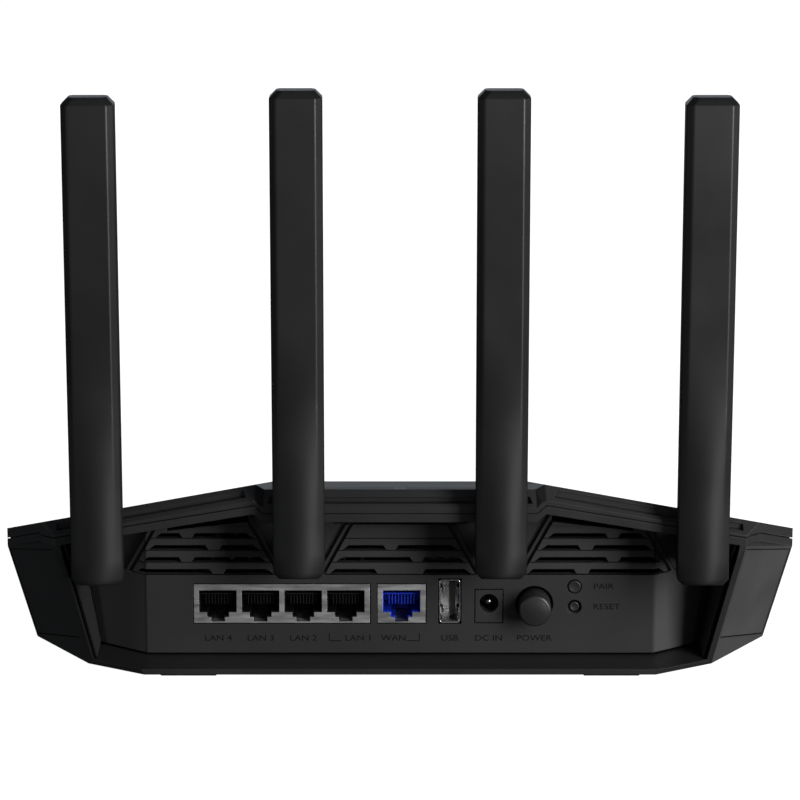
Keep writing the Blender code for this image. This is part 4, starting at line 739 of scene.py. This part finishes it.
def lettered(text, x, z, size=LABEL_SIZE, start=False):
    """Points and faces of a word standing on the panel, centred on x, or starting there."""
    curve = bpy.data.curves.new("word", "FONT")
    curve.body = text
    curve.align_x = "LEFT" if start else "CENTER"
    curve.align_y = "CENTER"
    curve.size = size
    curve.extrude = LABEL_RAISE
    curve.resolution_u = 3
    word = bpy.data.objects.new("word", curve)
    bpy.context.scene.collection.objects.link(word)
    bpy.context.view_layer.update()
    graph = bpy.context.evaluated_depsgraph_get()
    mesh = bpy.data.meshes.new_from_object(word.evaluated_get(graph))
    flat = np.empty(len(mesh.vertices) * 3)
    mesh.vertices.foreach_get("co", flat)
    faces = [list(polygon.vertices) for polygon in mesh.polygons]
    bpy.data.objects.remove(word)
    bpy.data.curves.remove(curve)
    bpy.data.meshes.remove(mesh)
    flat = flat.reshape(-1, 3)
    depth = PANEL_Y - LABEL_RAISE - flat[:, 2]
    points = np.stack([x + flat[:, 0] * LABEL_STRETCH, depth, z + flat[:, 1]], axis=1)
    return points, faces


def build_lettering(jack_xs, wan_x):
    """Names under the sockets and beside the buttons, with a bracket round the last two."""
    usb_x = middle("usb_shell")[0]
    dc_x = middle("dc_inlet")[0]
    power_x = middle("power_button")[0]
    words = [lettered(f"LAN {4 - k}", x, LABEL_Z) for k, x in enumerate(jack_xs[:3])]
    words.append(lettered("LAN 1", jack_xs[3] + 4.2, LABEL_Z))
    words.append(lettered("WAN", wan_x - 2.6, LABEL_Z))
    words += [lettered("USB", usb_x, LABEL_Z), lettered("DC IN", dc_x, LABEL_Z)]
    words.append(lettered("POWER", power_x, LABEL_Z))
    for name, word in (("pair", "PAIR"), ("reset", "RESET")):
        x, _, z = middle(f"{name}_button")
        words.append(lettered(word, x + 6.1, z, start=True))
    for side, end, mouth in ((-1, jack_xs[3] - 5.6, 4.0), (1, wan_x + 6.0, 4.2)):
        thick = 0.28
        near, far = sorted((end, end - side * mouth))
        words.append(boxed((near, PANEL_Y - 0.06, LABEL_Z - 1.0), (far, PANEL_Y, LABEL_Z - 1.0 + thick)))
        near, far = sorted((end, end - side * thick))
        words.append(boxed((near, PANEL_Y - 0.06, LABEL_Z - 0.9 + thick), (far, PANEL_Y, LABEL_Z + 1.7)))
    case_piece(made_mesh("lettering", *pooled(words), ink))


# ---------------------------------------------------------------- stage, light, camera
def set_stage():
    """A plain pale floor that light passes through, so a low lamp can reach the side walls."""
    floor_mesh = bpy.data.meshes.new("floor")
    size = 6.0
    corner_points = [(-size, -size, 0), (size, -size, 0), (size, size, 0), (-size, size, 0)]
    floor_mesh.from_pydata(corner_points, [], [(0, 1, 2, 3)])
    floor = bpy.data.objects.new("floor", floor_mesh)
    bpy.context.scene.collection.objects.link(floor)
    s = Surface("floor_white", Roughness=0.9)
    s.shader.inputs["Base Color"].default_value = (0.5, 0.5, 0.5, 1)
    s.shader.inputs["Specular IOR Level"].default_value = 0.0
    s.shader.inputs["Emission Color"].default_value = (1, 1, 1, 1)
    s.shader.inputs["Emission Strength"].default_value = 1.0
    floor_mesh.materials.append(s.material)
    floor.visible_glossy = False
    floor.visible_diffuse = False
    floor.visible_shadow = False


def set_world():
    """A white backdrop for the camera, and a much dimmer fill for everything else."""
    world = bpy.data.worlds.new("studio")
    bpy.context.scene.world = world
    world.use_nodes = True
    tree = world.node_tree
    tree.nodes.clear()
    out = tree.nodes.new("ShaderNodeOutputWorld")
    mix = tree.nodes.new("ShaderNodeMixShader")
    path = tree.nodes.new("ShaderNodeLightPath")
    seen = tree.nodes.new("ShaderNodeBackground")
    seen.inputs["Color"].default_value = (1, 1, 1, 1)
    seen.inputs["Strength"].default_value = 1.1
    fill = tree.nodes.new("ShaderNodeBackground")
    fill.inputs["Color"].default_value = (0.9, 0.95, 1.0, 1)
    fill.inputs["Strength"].default_value = WORLD_FILL
    tree.links.new(path.outputs["Is Camera Ray"], mix.inputs["Fac"])
    tree.links.new(fill.outputs["Background"], mix.inputs[1])
    tree.links.new(seen.outputs["Background"], mix.inputs[2])
    tree.links.new(mix.outputs["Shader"], out.inputs["Surface"])


def softbox(name, place, aim, size, power, colour=(1, 1, 1)):
    """A rectangular area light in metres, aimed at a point."""
    data = bpy.data.lights.new(name, "AREA")
    data.shape = "RECTANGLE"
    data.size, data.size_y = size
    data.energy = power
    data.color = colour
    lamp = bpy.data.objects.new(name, data)
    lamp.location = place
    lamp.rotation_euler = (Vector(aim) - Vector(place)).to_track_quat("-Z", "Y").to_euler()
    bpy.context.scene.collection.objects.link(lamp)


LIGHTS = (
    ("key_right", (0.9, -1.0, 0.4), (0.5, 0.9), 21.0, (1.0, 0.99, 0.98)),
    ("front", (0.15, -1.7, 0.35), (1.6, 0.9), 1.5, (1.0, 1.0, 1.0)),
    ("side_far", (2.6, 0.0, 0.3), (1.4, 1.6), 4.0, (1.0, 1.0, 1.0)),
    ("right_low", (0.6, 0.6, -0.42), (0.45, 0.4), 0.3, (1.0, 1.0, 1.0)),
    ("left", (-1.4, -0.8, 0.25), (0.8, 0.8), 1.5, (0.9, 0.95, 1.0)),
    ("top", (0.0, -0.3, 1.4), (1.0, 0.8), 0.5, (0.8, 0.88, 1.0)),
    ("back", (0.0, 1.5, 0.5), (1.6, 0.7), 3.0, (0.85, 0.92, 1.0)),
)
WORLD_FILL = 0.04


def set_lights():
    """Every lamp of the table, aimed at the middle of the socket panel."""
    for name, place, size, power, colour in LIGHTS:
        softbox(name, place, (0, -0.05, 0.06), size, power, colour)


def set_camera():
    data = bpy.data.cameras.new("camera")
    data.lens = 146.9
    data.sensor_width = 36
    camera = bpy.data.objects.new("camera", data)
    camera.location = (0, -1.09, 0.3272)
    camera.rotation_euler = (math.radians(77), 0, 0)
    bpy.context.scene.collection.objects.link(camera)
    bpy.context.scene.camera = camera


def main():
    bpy.context.scene.view_settings.view_transform = "Standard"
    dress_frame()
    for k in range(1, 5):
        build_blade(k)
    build_power_button()
    for name in ("pair", "reset"):
        build_small_button(name)
    jack_z = middle("lan_shell")[2]
    jack_xs = [middle(f"lan_insert_{number}")[0] for number in (4, 3, 2, 1)]
    wan_x = middle("wan_insert")[0]
    for k, x in enumerate(jack_xs):
        build_jack(f"lan_{4 - k}", x, jack_z, black_insert)
    build_jack("wan", wan_x, jack_z, blue_plastic)
    build_usb()
    build_dc_pin()
    build_lettering(jack_xs, wan_x)
    set_stage()
    set_world()
    set_lights()
    set_camera()


main()
